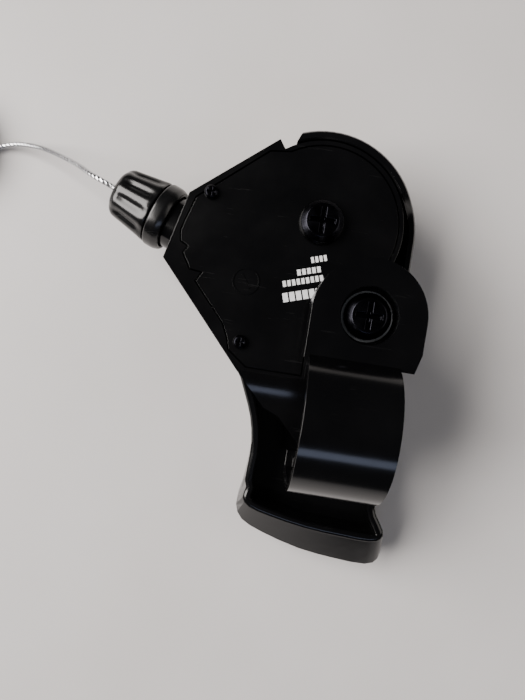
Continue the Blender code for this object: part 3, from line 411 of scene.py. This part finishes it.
def moulded(name, colour, worn_colour, roughness, peel_mm, peel, grain_mm, grain, scratch, specular_ior=1.53):
    """A moulded plastic. Patterns and the heights of their bumps are in millimetres."""
    material, tree, shader = new_material(name)
    place = add(tree, "TexCoord").outputs["Object"]
    peel_noise = add(tree, "TexNoise", {"Vector": place, "Scale": per_mm(peel_mm), "Detail": 2.0})
    grain_noise = add(tree, "TexNoise", {"Vector": place, "Scale": per_mm(grain_mm), "Detail": 3.0})
    along = add(tree, "Mapping", {"Vector": place, "Rotation": (0.0, 0.0, 0.7), "Scale": (1.0, 14.0, 1.0)})
    scratch_noise = add(tree, "TexNoise", {"Vector": along.outputs["Vector"], "Scale": per_mm(SCRATCH_LENGTH),
                                           "Detail": 4.0, "Roughness": 0.6})
    scratches = ramp_between(tree, scratch_noise.outputs["Fac"], 0.66, 0.70, GREY[0.0], GREY[1.0])
    wear = add(tree, "TexNoise", {"Vector": place, "Scale": per_mm(WEAR_PATCH), "Detail": 5.0})
    worn = ramp_between(tree, wear.outputs["Fac"], 0.35, 0.75, linear(colour), linear(worn_colour))
    tree.links.new(worn, shader.inputs["Base Color"])
    rough = add(tree, "MapRange", {"Value": wear.outputs["Fac"], "From Min": 0.3, "From Max": 0.75,
                                   "To Min": roughness * 0.85, "To Max": roughness * 1.3})
    rougher = add(tree, "Math", {0: scratches, 1: 0.12, 2: rough.outputs["Result"]}, operation="MULTIPLY_ADD")
    tree.links.new(rougher.outputs["Value"], shader.inputs["Roughness"])
    peel_bump = add(tree, "Bump", {"Height": peel_noise.outputs["Fac"], "Strength": 0.5,
                                   "Distance": peel * MM})
    grain_bump = add(tree, "Bump", {"Height": grain_noise.outputs["Fac"], "Strength": 0.5,
                                    "Distance": grain * MM, "Normal": peel_bump.outputs["Normal"]})
    scratch_bump = add(tree, "Bump", {"Height": scratches, "Strength": 0.4, "Distance": scratch * MM,
                                      "Normal": grain_bump.outputs["Normal"]}, invert=True)
    tree.links.new(scratch_bump.outputs["Normal"], shader.inputs["Normal"])
    shader.inputs["IOR"].default_value = specular_ior
    return material


# Glass-filled nylon from a polished mould: deep black, sharp reflections that waver a little
gloss_nylon = moulded("moulded_nylon_gloss", "#050506", "#09090a", 0.16, 4.0, 0.030, 0.35, 0.002, 0.002, 1.46)
# The same nylon from a spark-eroded mould: an even satin that blurs what it reflects
satin_nylon = moulded("moulded_nylon_satin", "#060607", "#0b0b0c", 0.24, 2.0, 0.010, 0.22, 0.010, 0.002)
# Powder coat baked on formed alloy: glossier than the nylon, with a long wave in it
powder_coat = moulded("powder_coat_gloss", "#040405", "#070708", 0.15, 6.0, 0.030, 0.50, 0.002, 0.001, 1.5)
# Natural acetal, an opaque white plastic with a waxy sheen
acetal = moulded("acetal_natural", "#e8e6df", "#dcd9cf", 0.42, 3.0, 0.010, 0.25, 0.004, 0.001, 1.48)
# Nylon of a cable tie, straight from the mould
tie_nylon = moulded("tie_nylon", "#141415", "#1c1c1e", 0.45, 1.5, 0.010, 0.18, 0.006, 0.001)
# Pressed fibre of the friction disc, rust brown and dusty
friction_fibre = moulded("pressed_fibre", "#5b3a28", "#7a5238", 0.85, 0.8, 0.040, 0.15, 0.030, 0.001, 1.45)
PLASTICS = (gloss_nylon, satin_nylon, powder_coat, acetal, tie_nylon, friction_fibre)
print("plastics:", [material.name for material in PLASTICS])


# %% [markdown]
# Plated metals are Metallic 1 with the plating's colour. Zinc shows fine turning marks and slightly cloudy
# patches, black zinc is the same with a dark colour, and brass from the lathe has rings. The marks are a
# wave texture with noise in it, kept shallow.

# %% Plated and turned metals
PLATING_CLOUD = 2.5


def plated(name, colour, cloud_colour, roughness, mark_mm, mark):
    """A plated or turned metal. The marks' spacing and height are in millimetres."""
    material, tree, shader = new_material(name)
    place = add(tree, "TexCoord").outputs["Object"]
    cloud = add(tree, "TexNoise", {"Vector": place, "Scale": per_mm(PLATING_CLOUD), "Detail": 4.0})
    colours = ramp_between(tree, cloud.outputs["Fac"], 0.35, 0.7, linear(colour), linear(cloud_colour))
    tree.links.new(colours, shader.inputs["Base Color"])
    rough = add(tree, "MapRange", {"Value": cloud.outputs["Fac"], "From Min": 0.3, "From Max": 0.7,
                                   "To Min": roughness * 0.8, "To Max": roughness * 1.25})
    tree.links.new(rough.outputs["Result"], shader.inputs["Roughness"])
    marks = add(tree, "TexWave", {"Vector": place, "Scale": per_mm(mark_mm) / math.tau, "Distortion": 3.0,
                                  "Detail": 2.0, "Detail Scale": 2.0}, bands_direction="Z")
    bump = add(tree, "Bump", {"Height": marks.outputs["Fac"], "Strength": 0.4, "Distance": mark * MM})
    tree.links.new(bump.outputs["Normal"], shader.inputs["Normal"])
    shader.inputs["Metallic"].default_value = 1.0
    return material


bright_zinc = plated("zinc_plated_steel", "#b9bcc0", "#c9ccd0", 0.28, 0.20, 0.004)
black_zinc = plated("black_zinc_plated_steel", "#1b1b1f", "#26262b", 0.24, 0.20, 0.004)
turned_brass = plated("turned_brass", "#c9a253", "#d6b268", 0.30, 0.15, 0.006)
drawn_wire = plated("drawn_galvanised_wire", "#c4c5c8", "#dadbdd", 0.24, 0.12, 0.002)
FINISH_OF_SLOT = {"moulded_black": gloss_nylon, "satin_black": satin_nylon, "painted_band": powder_coat,
                  "black_steel": black_zinc, "zinc_steel": bright_zinc, "cable_steel": drawn_wire,
                  "brass": turned_brass, "white_acetal": acetal, "friction_fibre": friction_fibre,
                  "tie_plastic": tie_nylon}
print("metals:", [material.name for material in (bright_zinc, black_zinc, turned_brass, drawn_wire)])


# %% [markdown]
# The cover plate carries a few white marks, pad-printed with a thin and slightly uneven ink. Printed ink is
# matt and stands a few hundredths of a millimetre proud.

# %% Pad-printed ink
pad_ink, ink_tree, ink_shader = new_material("pad_printed_white_ink")
ink_place = add(ink_tree, "TexCoord").outputs["Object"]
ink_noise = add(ink_tree, "TexNoise", {"Vector": ink_place, "Scale": per_mm(0.3), "Detail": 3.0})
ink_colour = ramp_between(ink_tree, ink_noise.outputs["Fac"], 0.3, 0.7, linear("#d9dadb"), linear("#f2f3f4"))
ink_tree.links.new(ink_colour, ink_shader.inputs["Base Color"])
ink_shader.inputs["Roughness"].default_value = 0.6
print(pad_ink.name)


# %% [markdown]
# ## CAD nodes that stay
# The pieces that nothing replaces, most of them inside the drum or the adjuster, keep their CAD shape and
# take the finish of their material slot.

# %% Finishes on the CAD nodes
for part in record["subparts"]:
    node = frame["nodes"][part["node"]]
    node.data.materials.clear()
    node.data.materials.append(FINISH_OF_SLOT[part["material_slot"]])
print(len(record["subparts"]), "nodes have their finish")


# %% [markdown]
# ## The cable
# A gear cable is strands of drawn wire twisted to 1.2 mm. The real one is 1.8 m long, made for any bicycle,
# and it leaves the adjuster's nose straight, sinks to the table in a shallow bow and runs to where the rest
# is wound up in a coil of about 26 turns, tied once. It could be a smooth tube with a striped bump. Here
# the section itself is lobed and twisted along the line, so the strands are real at any distance.

# %% The cable's centreline
CABLE_DIAMETER = 1.2
CABLE_LENGTH = 1.8
STRAND_LOBES = 8
LAY_LENGTH = 9.0
GROOVE_BETWEEN_STRANDS = 0.90    # of the cable's radius
CABLE_EXIT = 45.0
COIL_CENTRE = (-99.0, 10.0)
COIL_MEAN_RADIUS = 10.8
COIL_PITCH = 1.24
COIL_COLUMNS = 5
COIL_BOTTOM = 0.9
COIL_START = -28.0               # the angle where the first turn begins
TURN_STEPS = 72
STEP_ASIDE = 0.8                 # the share of a turn after which it moves to the next place
CABLE_STEP = 0.6

start = line_point(CABLE_EXIT)
straight = line_point(CABLE_EXIT + 3.0)
height = CABLE_HEIGHT / MM
ROUTE = [(start.x, start.y, height), (straight.x, straight.y, 15.95), (-53.0, 5.2, 14.7), (-56.8, 7.3, 12.2),
         (-63.3, 10.1, 8.2), (-69.7, 12.2, 4.7), (-75.8, 12.9, 2.3), (-80.0, 12.2, 1.2), (-83.8, 10.6, 1.2)]


def smooth_step(t):
    """From 0 to 1 with a soft start and end."""
    t = min(1.0, max(0.0, t))
    return t * t * (3.0 - 2.0 * t)


def coil_turns(length):
    """The wound length: turns side by side, in layers, with a step to the next place near each turn's end."""
    places = []
    for layer in range(COIL_COLUMNS + 1):
        columns = range(COIL_COLUMNS) if layer % 2 else range(COIL_COLUMNS - 1, -1, -1)
        places += [(column, layer) for column in columns]
    points = []
    wound = 0.0
    for (column, layer), (next_column, next_layer) in zip(places, places[1:]):
        radius = COIL_MEAN_RADIUS + (column - (COIL_COLUMNS - 1) / 2) * COIL_PITCH
        next_radius = COIL_MEAN_RADIUS + (next_column - (COIL_COLUMNS - 1) / 2) * COIL_PITCH
        for k in range(TURN_STEPS):
            share = smooth_step((k / TURN_STEPS - STEP_ASIDE) / (1.0 - STEP_ASIDE))
            here = radius + (next_radius - radius) * share
            up = COIL_BOTTOM + CABLE_DIAMETER / 2 + (layer + (next_layer - layer) * share) * COIL_PITCH
            points.append((*polar(here, COIL_START - 360.0 * k / TURN_STEPS, *COIL_CENTRE), up))
            wound += math.tau * here / TURN_STEPS
            if wound >= length:
                return points
    return points


outer_turn = COIL_MEAN_RADIUS + (COIL_COLUMNS - 1) / 2 * COIL_PITCH
joining = [(-86.1, 8.1, 1.4), (*polar(outer_turn, -17.0, *COIL_CENTRE), 1.5)]
lead_in = smooth_through(ROUTE + joining, 12)
run_length = sum((Vector(b) - Vector(a)).length for a, b in zip(lead_in, lead_in[1:]))
centreline = lead_in + coil_turns(CABLE_LENGTH / MM - run_length)


# %% Even steps along the cable
def resampled(points, step):
    """Points at an even distance along a line."""
    line = [Vector(point) for point in points]
    even = [line[0]]
    left = step
    for a, b in zip(line, line[1:]):
        span = (b - a).length
        while span >= left:
            a = a + (b - a) * (left / span)
            even.append(a)
            span = (b - a).length
            left = step
        left -= span
    return even


centreline = resampled(centreline, CABLE_STEP)
print("free run", round(run_length), "mm, in all", round(len(centreline) * CABLE_STEP), "mm")


# %% [markdown]
# The lobed section is a small closed curve, and the centreline is a curve that uses it as its bevel and
# turns it a little further at every point. The result is made a mesh.

# %% The cable's strands
def lobed_section():
    """A closed curve with one lobe for each strand."""
    curve = bpy.data.curves.new("strand_section", "CURVE")
    curve.dimensions = "2D"
    spline = curve.splines.new("POLY")
    count = STRAND_LOBES * 2
    spline.points.add(count - 1)
    for i, point in enumerate(spline.points):
        radius = CABLE_DIAMETER / 2 * (1.0 if i % 2 == 0 else GROOVE_BETWEEN_STRANDS)
        x, y = polar(radius, 360.0 * i / count)
        point.co = (x * MM, y * MM, 0.0, 1.0)
    spline.use_cyclic_u = True
    section = bpy.data.objects.new("strand_section", curve)
    bpy.context.scene.collection.objects.link(section)
    return section


def stranded_cable(name, points):
    """A mesh along the points whose lobed section turns once in each lay length."""
    section = lobed_section()
    curve = bpy.data.curves.new(name, "CURVE")
    curve.dimensions = "3D"
    curve.bevel_mode = "OBJECT"
    curve.bevel_object = section
    curve.use_fill_caps = True
    spline = curve.splines.new("POLY")
    spline.points.add(len(points) - 1)
    for i, (point, place) in enumerate(zip(spline.points, points)):
        point.co = (*(place * MM), 1.0)
        point.tilt = math.tau * i * CABLE_STEP / LAY_LENGTH
    cable = bpy.data.objects.new(name, curve)
    bpy.context.scene.collection.objects.link(cable)
    pick(cable)
    bpy.ops.object.convert(target="MESH")
    cable = bpy.context.object
    section_curve = section.data
    bpy.data.objects.remove(section)
    bpy.data.curves.remove(section_curve)
    return cable


cable = in_place(stranded_cable("gear_cable", centreline))
finished(cable, drawn_wire, "root", ("cable_tail", "cable_coil"), 50.0)


# %% [markdown]
# The tie is a flat nylon strip round the coil with a small head. It is modelled as a rounded loop, extruded
# to the strip's width and bevelled, and the head is a box with a bevel.

# %% The coil's tie
TIE_WALL = 0.6
TIE_HEAD = (2.0, 5.4, 1.4)       # from and to along the strip, and its height over it


def make_tie():
    """The strip as a flat loop with its head, stood up across the coil."""
    low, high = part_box("coil_tie")
    low = (low - AXLE) / MM
    high = (high - AXLE) / MM
    width = high.y - low.y
    loop = rounded([(low.x, low.z), (high.x, low.z), (high.x, high.z), (low.x, high.z)], 1.6, 6)
    tie = prism("coil_tie_strip", loop, -width / 2, width / 2)
    left, right = low.x + TIE_WALL, high.x - TIE_WALL
    bottom, top = low.z + TIE_WALL, high.z - TIE_WALL
    inside = rounded([(left, bottom), (right, bottom), (right, top), (left, top)], 1.2, 6)
    cut(tie, prism("tie_window", inside, -width, width))
    rounded_edges(tie, 0.15, 2)
    head_from, head_to, head_height = TIE_HEAD
    head = block("tie_head", (low.x + head_from, top, -width * 0.7),
                 (low.x + head_to, high.z + head_height, width * 0.7))
    join(tie, rounded_edges(head, 0.4, 3))
    moved(tie, (0.0, (low.y + high.y) / 2 * MM, 0.0), (math.pi / 2, 0.0, 0.0))
    return in_place(tie)


coil_tie = finished(make_tie(), tie_nylon, "root", ("coil_tie",))


# %% [markdown]
# ## Housing, plate, lever, strap and fasteners
# The frame has the shapes of the mouldings and of the strap. What it lacks is what a mould and a press give
# them: every outer edge is rounded, by 0.15 mm on the drum and by up to 0.85 mm on the strap. The rim of
# the paddle gets 1.3 mm, and a slanting corner is cut off the strap's boss. A copy of each solid is merged,
# its flat facets are joined into whole faces, and its sharp edges are bevelled by the piece's own amount. A
# bevel by angle leaves the facets of curved walls alone, and smooth shading takes them away.

# %% Rounded copies of the mouldings
def refined(node, name, width, segments=2, angle=30.0):
    """A merged copy of a CAD node with its flat faces joined and its edges rounded."""
    piece = frame["nodes"][node].copy()
    piece.data = piece.data.copy()
    bpy.context.scene.collection.objects.link(piece)
    piece.name = name
    piece.data.name = name
    moved(piece, piece.location, piece.rotation_euler)
    bpy.ops.object.mode_set(mode="EDIT")
    bpy.ops.mesh.select_all(action="SELECT")
    bpy.ops.mesh.remove_doubles(threshold=2e-6)
    bpy.ops.mesh.dissolve_limited(angle_limit=math.radians(0.5))
    bpy.ops.mesh.normals_make_consistent(inside=False)
    bpy.ops.object.mode_set(mode="OBJECT")
    if width:
        rounded_edges(piece, width, segments, angle)
    return piece


# %% A corner and a rim that need more than the bevel
BOSS_CORNER = [(20.0, -29.5), (24.0, -29.5), (24.0, -22.0), (21.9, -22.5)]


def boss_corner():
    """The slanting corner of the strap's boss, on the side away from the adjuster."""
    return in_place(prism("boss_corner", BOSS_CORNER, 30.0, 40.0))


PADDLE_MIDDLE = AXLE + Vector((9.5, -58.0, 0.0)) * MM
PADDLE_RIM_ROUND = 1.3
PADDLE_FROM_Y = -50.0            # the paddle lies beyond this
PADDLE_RIM_OVER = 12.5           # and its rim is higher than this


def soften_paddle_rim(piece):
    """Bevels the outer edge of the paddle's rim, where a thumb rests, more than the other edges."""
    pick(piece)
    bpy.ops.object.mode_set(mode="EDIT")
    bpy.ops.mesh.select_all(action="DESELECT")
    shape = bmesh.from_edit_mesh(piece.data)
    for edge in shape.edges:
        middle_of_edge = (edge.verts[0].co + edge.verts[1].co) / 2
        out = middle_of_edge - PADDLE_MIDDLE
        out.z = 0.0
        tops = [face for face in edge.link_faces if face.normal.z > 0.9]
        sides = [face for face in edge.link_faces if face.normal.z < 0.8 and face.normal.dot(out) > 0.0]
        on_paddle = middle_of_edge.y < AXLE.y + PADDLE_FROM_Y * MM and middle_of_edge.z > PADDLE_RIM_OVER * MM
        edge.select = bool(tops and sides and on_paddle)
    bmesh.update_edit_mesh(piece.data)
    bpy.ops.mesh.bevel(offset=PADDLE_RIM_ROUND * MM, segments=4, affect="EDGES", clamp_overlap=True)
    bpy.ops.object.mode_set(mode="OBJECT")
    return piece


# %% The mouldings and the strap
# CAD node, piece, material, body, bevel
REFINED = [("housing", "drum_housing", gloss_nylon, "root", 0.15),
           ("base_plate", "cover_plate", gloss_nylon, "root", 0.20),
           ("lever", "lever_shell", gloss_nylon, "lever", 0.60),
           ("lever_cap", "lever_cover_cap", gloss_nylon, "lever", 0.30),
           ("clamp_band", "handlebar_strap", powder_coat, "root", 0.85)]
slot_of = {part["node"]: part["material_slot"] for part in record["subparts"]}
for node, name, material, body, width in REFINED:
    piece = refined(node, name, 0.0)
    if node == "clamp_band":
        cut(piece, boss_corner())
    if node == "lever":
        soften_paddle_rim(piece)
    rounded_edges(piece, width, 3, 30.0)
    finished(piece, material, body, (node,), weighted=True)


# %% [markdown]
# Screws and washers are cold formed and tumbled before plating, which softens every edge. The copies get a
# small bevel. The screws are plated in black zinc, and the clamp's washer in bright zinc.

# %% Screws and washers
for node in ("axle_screw", "clamp_screw", "plate_screw_upper", "plate_screw_lower", "clamp_washer"):
    width = 0.06 if node.startswith("plate") else 0.15
    finished(refined(node, node + "_formed", width, 2), FINISH_OF_SLOT[slot_of[node]], "root",
             (node,), weighted=True)


# %% [markdown]
# The cover plate is marked by its maker's printing. A library part carries no lettering, so plain bars of
# white ink stand in its place, row by row, and a blank ring with a pointer stands for the mould's date
# stamp. The ink is a few hundredths of a millimetre thick and the stamp is a raised line of the moulding
# itself.

# %% Marks on the cover plate
MARK_TURN = 18.0
PLATE_FACE = 25.0
INK_THICKNESS = 0.04
# x and y of the centre, number of bars, their width and height
MARK_ROWS = [(0.69, -7.51, 4, 0.60, 1.25), (-0.97, -10.30, 5, 0.75, 1.25), (-1.87, -12.56, 9, 0.68, 1.25),
             (-1.61, -15.47, 6, 1.10, 1.90)]


def printed_row(x, y, count, width, height, gap=0.30):
    """A row of plain bars, centred on a point and turned with the printing."""
    turn = math.radians(MARK_TURN)
    bars = []
    for i in range(count):
        shift = (i - (count - 1) / 2) * (width + gap)
        bar = block("printed_bar", (-width / 2, -height / 2, PLATE_FACE),
                    (width / 2, height / 2, PLATE_FACE + INK_THICKNESS))
        place = polar(shift, MARK_TURN, x, y)
        moved(bar, (place[0] * MM, place[1] * MM, 0.0), (0.0, 0.0, turn))
        bars.append(bar)
    deselect()
    for bar in bars:
        bar.select_set(True)
    bpy.context.view_layer.objects.active = bars[0]
    bpy.ops.object.join()
    return take("printed_row")


for i, row in enumerate(MARK_ROWS):
    marks = in_place(printed_row(*row))
    marks.name = marks.data.name = "printed_row_" + str(i + 1)
    rounded_edges(marks, 0.012, 1)
    finished(marks, pad_ink, "root")


# %% The blank stamp
STAMP = (-13.6, -14.5)
stamp_profile = [(2.55, PLATE_FACE - 0.05), (2.90, PLATE_FACE - 0.05), (2.85, PLATE_FACE + 0.16),
                 (2.60, PLATE_FACE + 0.16)]
stamp = moved(spun("mould_stamp", stamp_profile, 48), (STAMP[0] * MM, STAMP[1] * MM, 0.0))
pointer = block("stamp_pointer", (-0.22, -1.7, PLATE_FACE - 0.05), (0.22, 1.7, PLATE_FACE + 0.10))
moved(pointer, (STAMP[0] * MM, STAMP[1] * MM, 0.0), (0.0, 0.0, 0.6))
rounded_edges(pointer, 0.06, 1)
finished(in_place(stamp), gloss_nylon, "root")
finished(in_place(pointer), gloss_nylon, "root")


# %% [markdown]
# ## Barrel adjuster
# The knob is moulded nylon with ten broad flutes for the fingers and a domed nose with the casing's socket
# in it. It could be a cylinder with cutters round it. A loft of scalloped rings is cleaner: each ring is
# one outline along the knob's length, its scallops fade into the dome, and only the socket is cut.

# %% Knob
KNOB_START, KNOB_END = 33.0, 43.0
KNOB_BASE, KNOB_NOSE, KNOB_TIP = 7.2, 5.9, 3.6
KNOB_DOME = 2.2
KNOB_CHAMFER = 0.45
SOCKET_RADIUS, SOCKET_DEPTH = 2.6, 3.8
WIRE_WAY_RADIUS = 1.1
SPRING_ROOM_RADIUS, SPRING_ROOM_DEPTH = 5.0, 4.6
FLUTES = 10
FLUTE_DEPTH = 0.55


def scalloped(radius, depth, height, sides=160):
    """A ring whose radius dips between broad ribs."""
    ring = []
    for i in range(sides):
        degrees = 360.0 * i / sides
        dip = (0.5 - 0.5 * math.cos(math.radians(degrees * FLUTES))) ** 1.6
        ring.append((*polar(radius - depth * dip, degrees), height))
    return ring


def knob_rings():
    """From the base's chamfer along the ribs and over the dome to the nose."""
    ribs_start = KNOB_START + KNOB_CHAMFER
    rings = [scalloped(KNOB_BASE - 0.1, 0.1, KNOB_START + 0.12), scalloped(KNOB_BASE, 0.15, ribs_start)]
    straight = KNOB_END - KNOB_DOME
    for k in range(1, 9):
        share = k / 8
        radius = KNOB_BASE + (KNOB_NOSE - KNOB_BASE) * share
        depth = FLUTE_DEPTH * smooth_step(share * 6.0) * smooth_step((1.12 - share) * 4.0)
        rings.append(scalloped(radius, depth, ribs_start + (straight - ribs_start) * share))
    for k in range(1, 7):
        angle = math.pi / 2 * k / 6
        radius = KNOB_TIP + (KNOB_NOSE - KNOB_TIP) * math.cos(angle)
        depth = FLUTE_DEPTH * 0.35 * math.cos(angle)
        rings.append(scalloped(radius, depth, straight + KNOB_DOME * math.sin(angle)))
    return rings


def make_knob():
    """The loft of scalloped rings with the socket, the wire's way and the spring's room cut out."""
    base = scalloped(KNOB_BASE - 0.35, 0.05, KNOB_START)
    knob = grow(outline_face("knurled_knob", [point[:2] for point in base], KNOB_START), knob_rings())
    cut(knob, rod("casing_socket", SOCKET_RADIUS, KNOB_END - SOCKET_DEPTH, KNOB_END + 1.0))
    cut(knob, rod("wire_way", WIRE_WAY_RADIUS, KNOB_START - 1.0, KNOB_END, sides=32))
    cut(knob, rod("spring_room", SPRING_ROOM_RADIUS, KNOB_START - 1.0, KNOB_START + SPRING_ROOM_DEPTH))
    return in_place(on_line(knob))


finished(make_knob(), satin_nylon, "adjuster_travel", ("adjuster_knob",), 40.0)


# %% [markdown]
# The collar between the ear and the knob is a plain moulded ring with rounded shoulders, so its profile is
# spun.

# %% Collar
COLLAR_START, COLLAR_END = 29.1, 32.7
COLLAR_RADIUS, COLLAR_BORE = 7.4, 6.2
collar_profile = [(COLLAR_BORE, COLLAR_START), (COLLAR_RADIUS - 0.5, COLLAR_START),
                  (COLLAR_RADIUS, COLLAR_START + 1.2), (COLLAR_RADIUS, COLLAR_END), (COLLAR_BORE, COLLAR_END)]
ring = spun("adjuster_ring", rounded(collar_profile, 0.5, 4), 96)
finished(in_place(on_line(ring)), satin_nylon, "adjuster_turn",
         ("adjuster_collar",))


# %% [markdown]
# ## Floor and light
# The shifter lies on a pale painted table top. A large soft window stands to the left, so shadows fall
# softly to the right, where a dim lamp lifts them. A faint sheet of light from the paddle's side draws the
# band on the strap.

# %% The table top
table_paint, paint_tree, paint_shader = new_material("painted_table_top")
paint_place = add(paint_tree, "TexCoord").outputs["Object"]
paint_noise = add(paint_tree, "TexNoise", {"Vector": paint_place, "Scale": per_mm(60.0), "Detail": 5.0})
paint_colour = ramp_between(paint_tree, paint_noise.outputs["Fac"], 0.3, 0.7, linear("#cbc8c6"),
                            linear("#d3d0cf"))
paint_tree.links.new(paint_colour, paint_shader.inputs["Base Color"])
paint_shader.inputs["Roughness"].default_value = 0.55
deselect()
bpy.ops.mesh.primitive_grid_add(x_subdivisions=8, y_subdivisions=8, size=3.0, location=(0.0, 0.0, -0.0002))
table_top = take("table_top")
table_top.data.materials.append(table_paint)


# %% Window light and fill
def area_light(name, location, aim, size, energy, colour):
    """A rectangle of light that faces a point."""
    data = bpy.data.lights.new(name, "AREA")
    data.shape = "RECTANGLE"
    data.size, data.size_y = size
    data.energy = energy
    data.color = linear(colour)[:3]
    light = bpy.data.objects.new(name, data)
    light.location = location
    light.rotation_euler = (Vector(aim) - Vector(location)).to_track_quat("-Z", "Y").to_euler()
    bpy.context.scene.collection.objects.link(light)
    return light


area_light("window", (-0.75, 0.10, 0.70), (0.0, 0.0, 0.0), (0.95, 0.70), 28.0, "#fffaf6")
area_light("right_fill", (0.65, 0.10, 0.50), (0.0, 0.0, 0.0), (0.60, 0.50), 1.6, "#fdf6ee")
area_light("low_sheet", (0.10, -0.68, 0.76), (0.0, 0.0, 0.02), (0.50, 0.20), 0.80, "#cfdcff")
world = bpy.data.worlds.new("studio")
world.use_nodes = True
world.node_tree.nodes["Background"].inputs["Color"].default_value = linear("#d8dade")
world.node_tree.nodes["Background"].inputs["Strength"].default_value = 0.06
bpy.context.scene.world = world
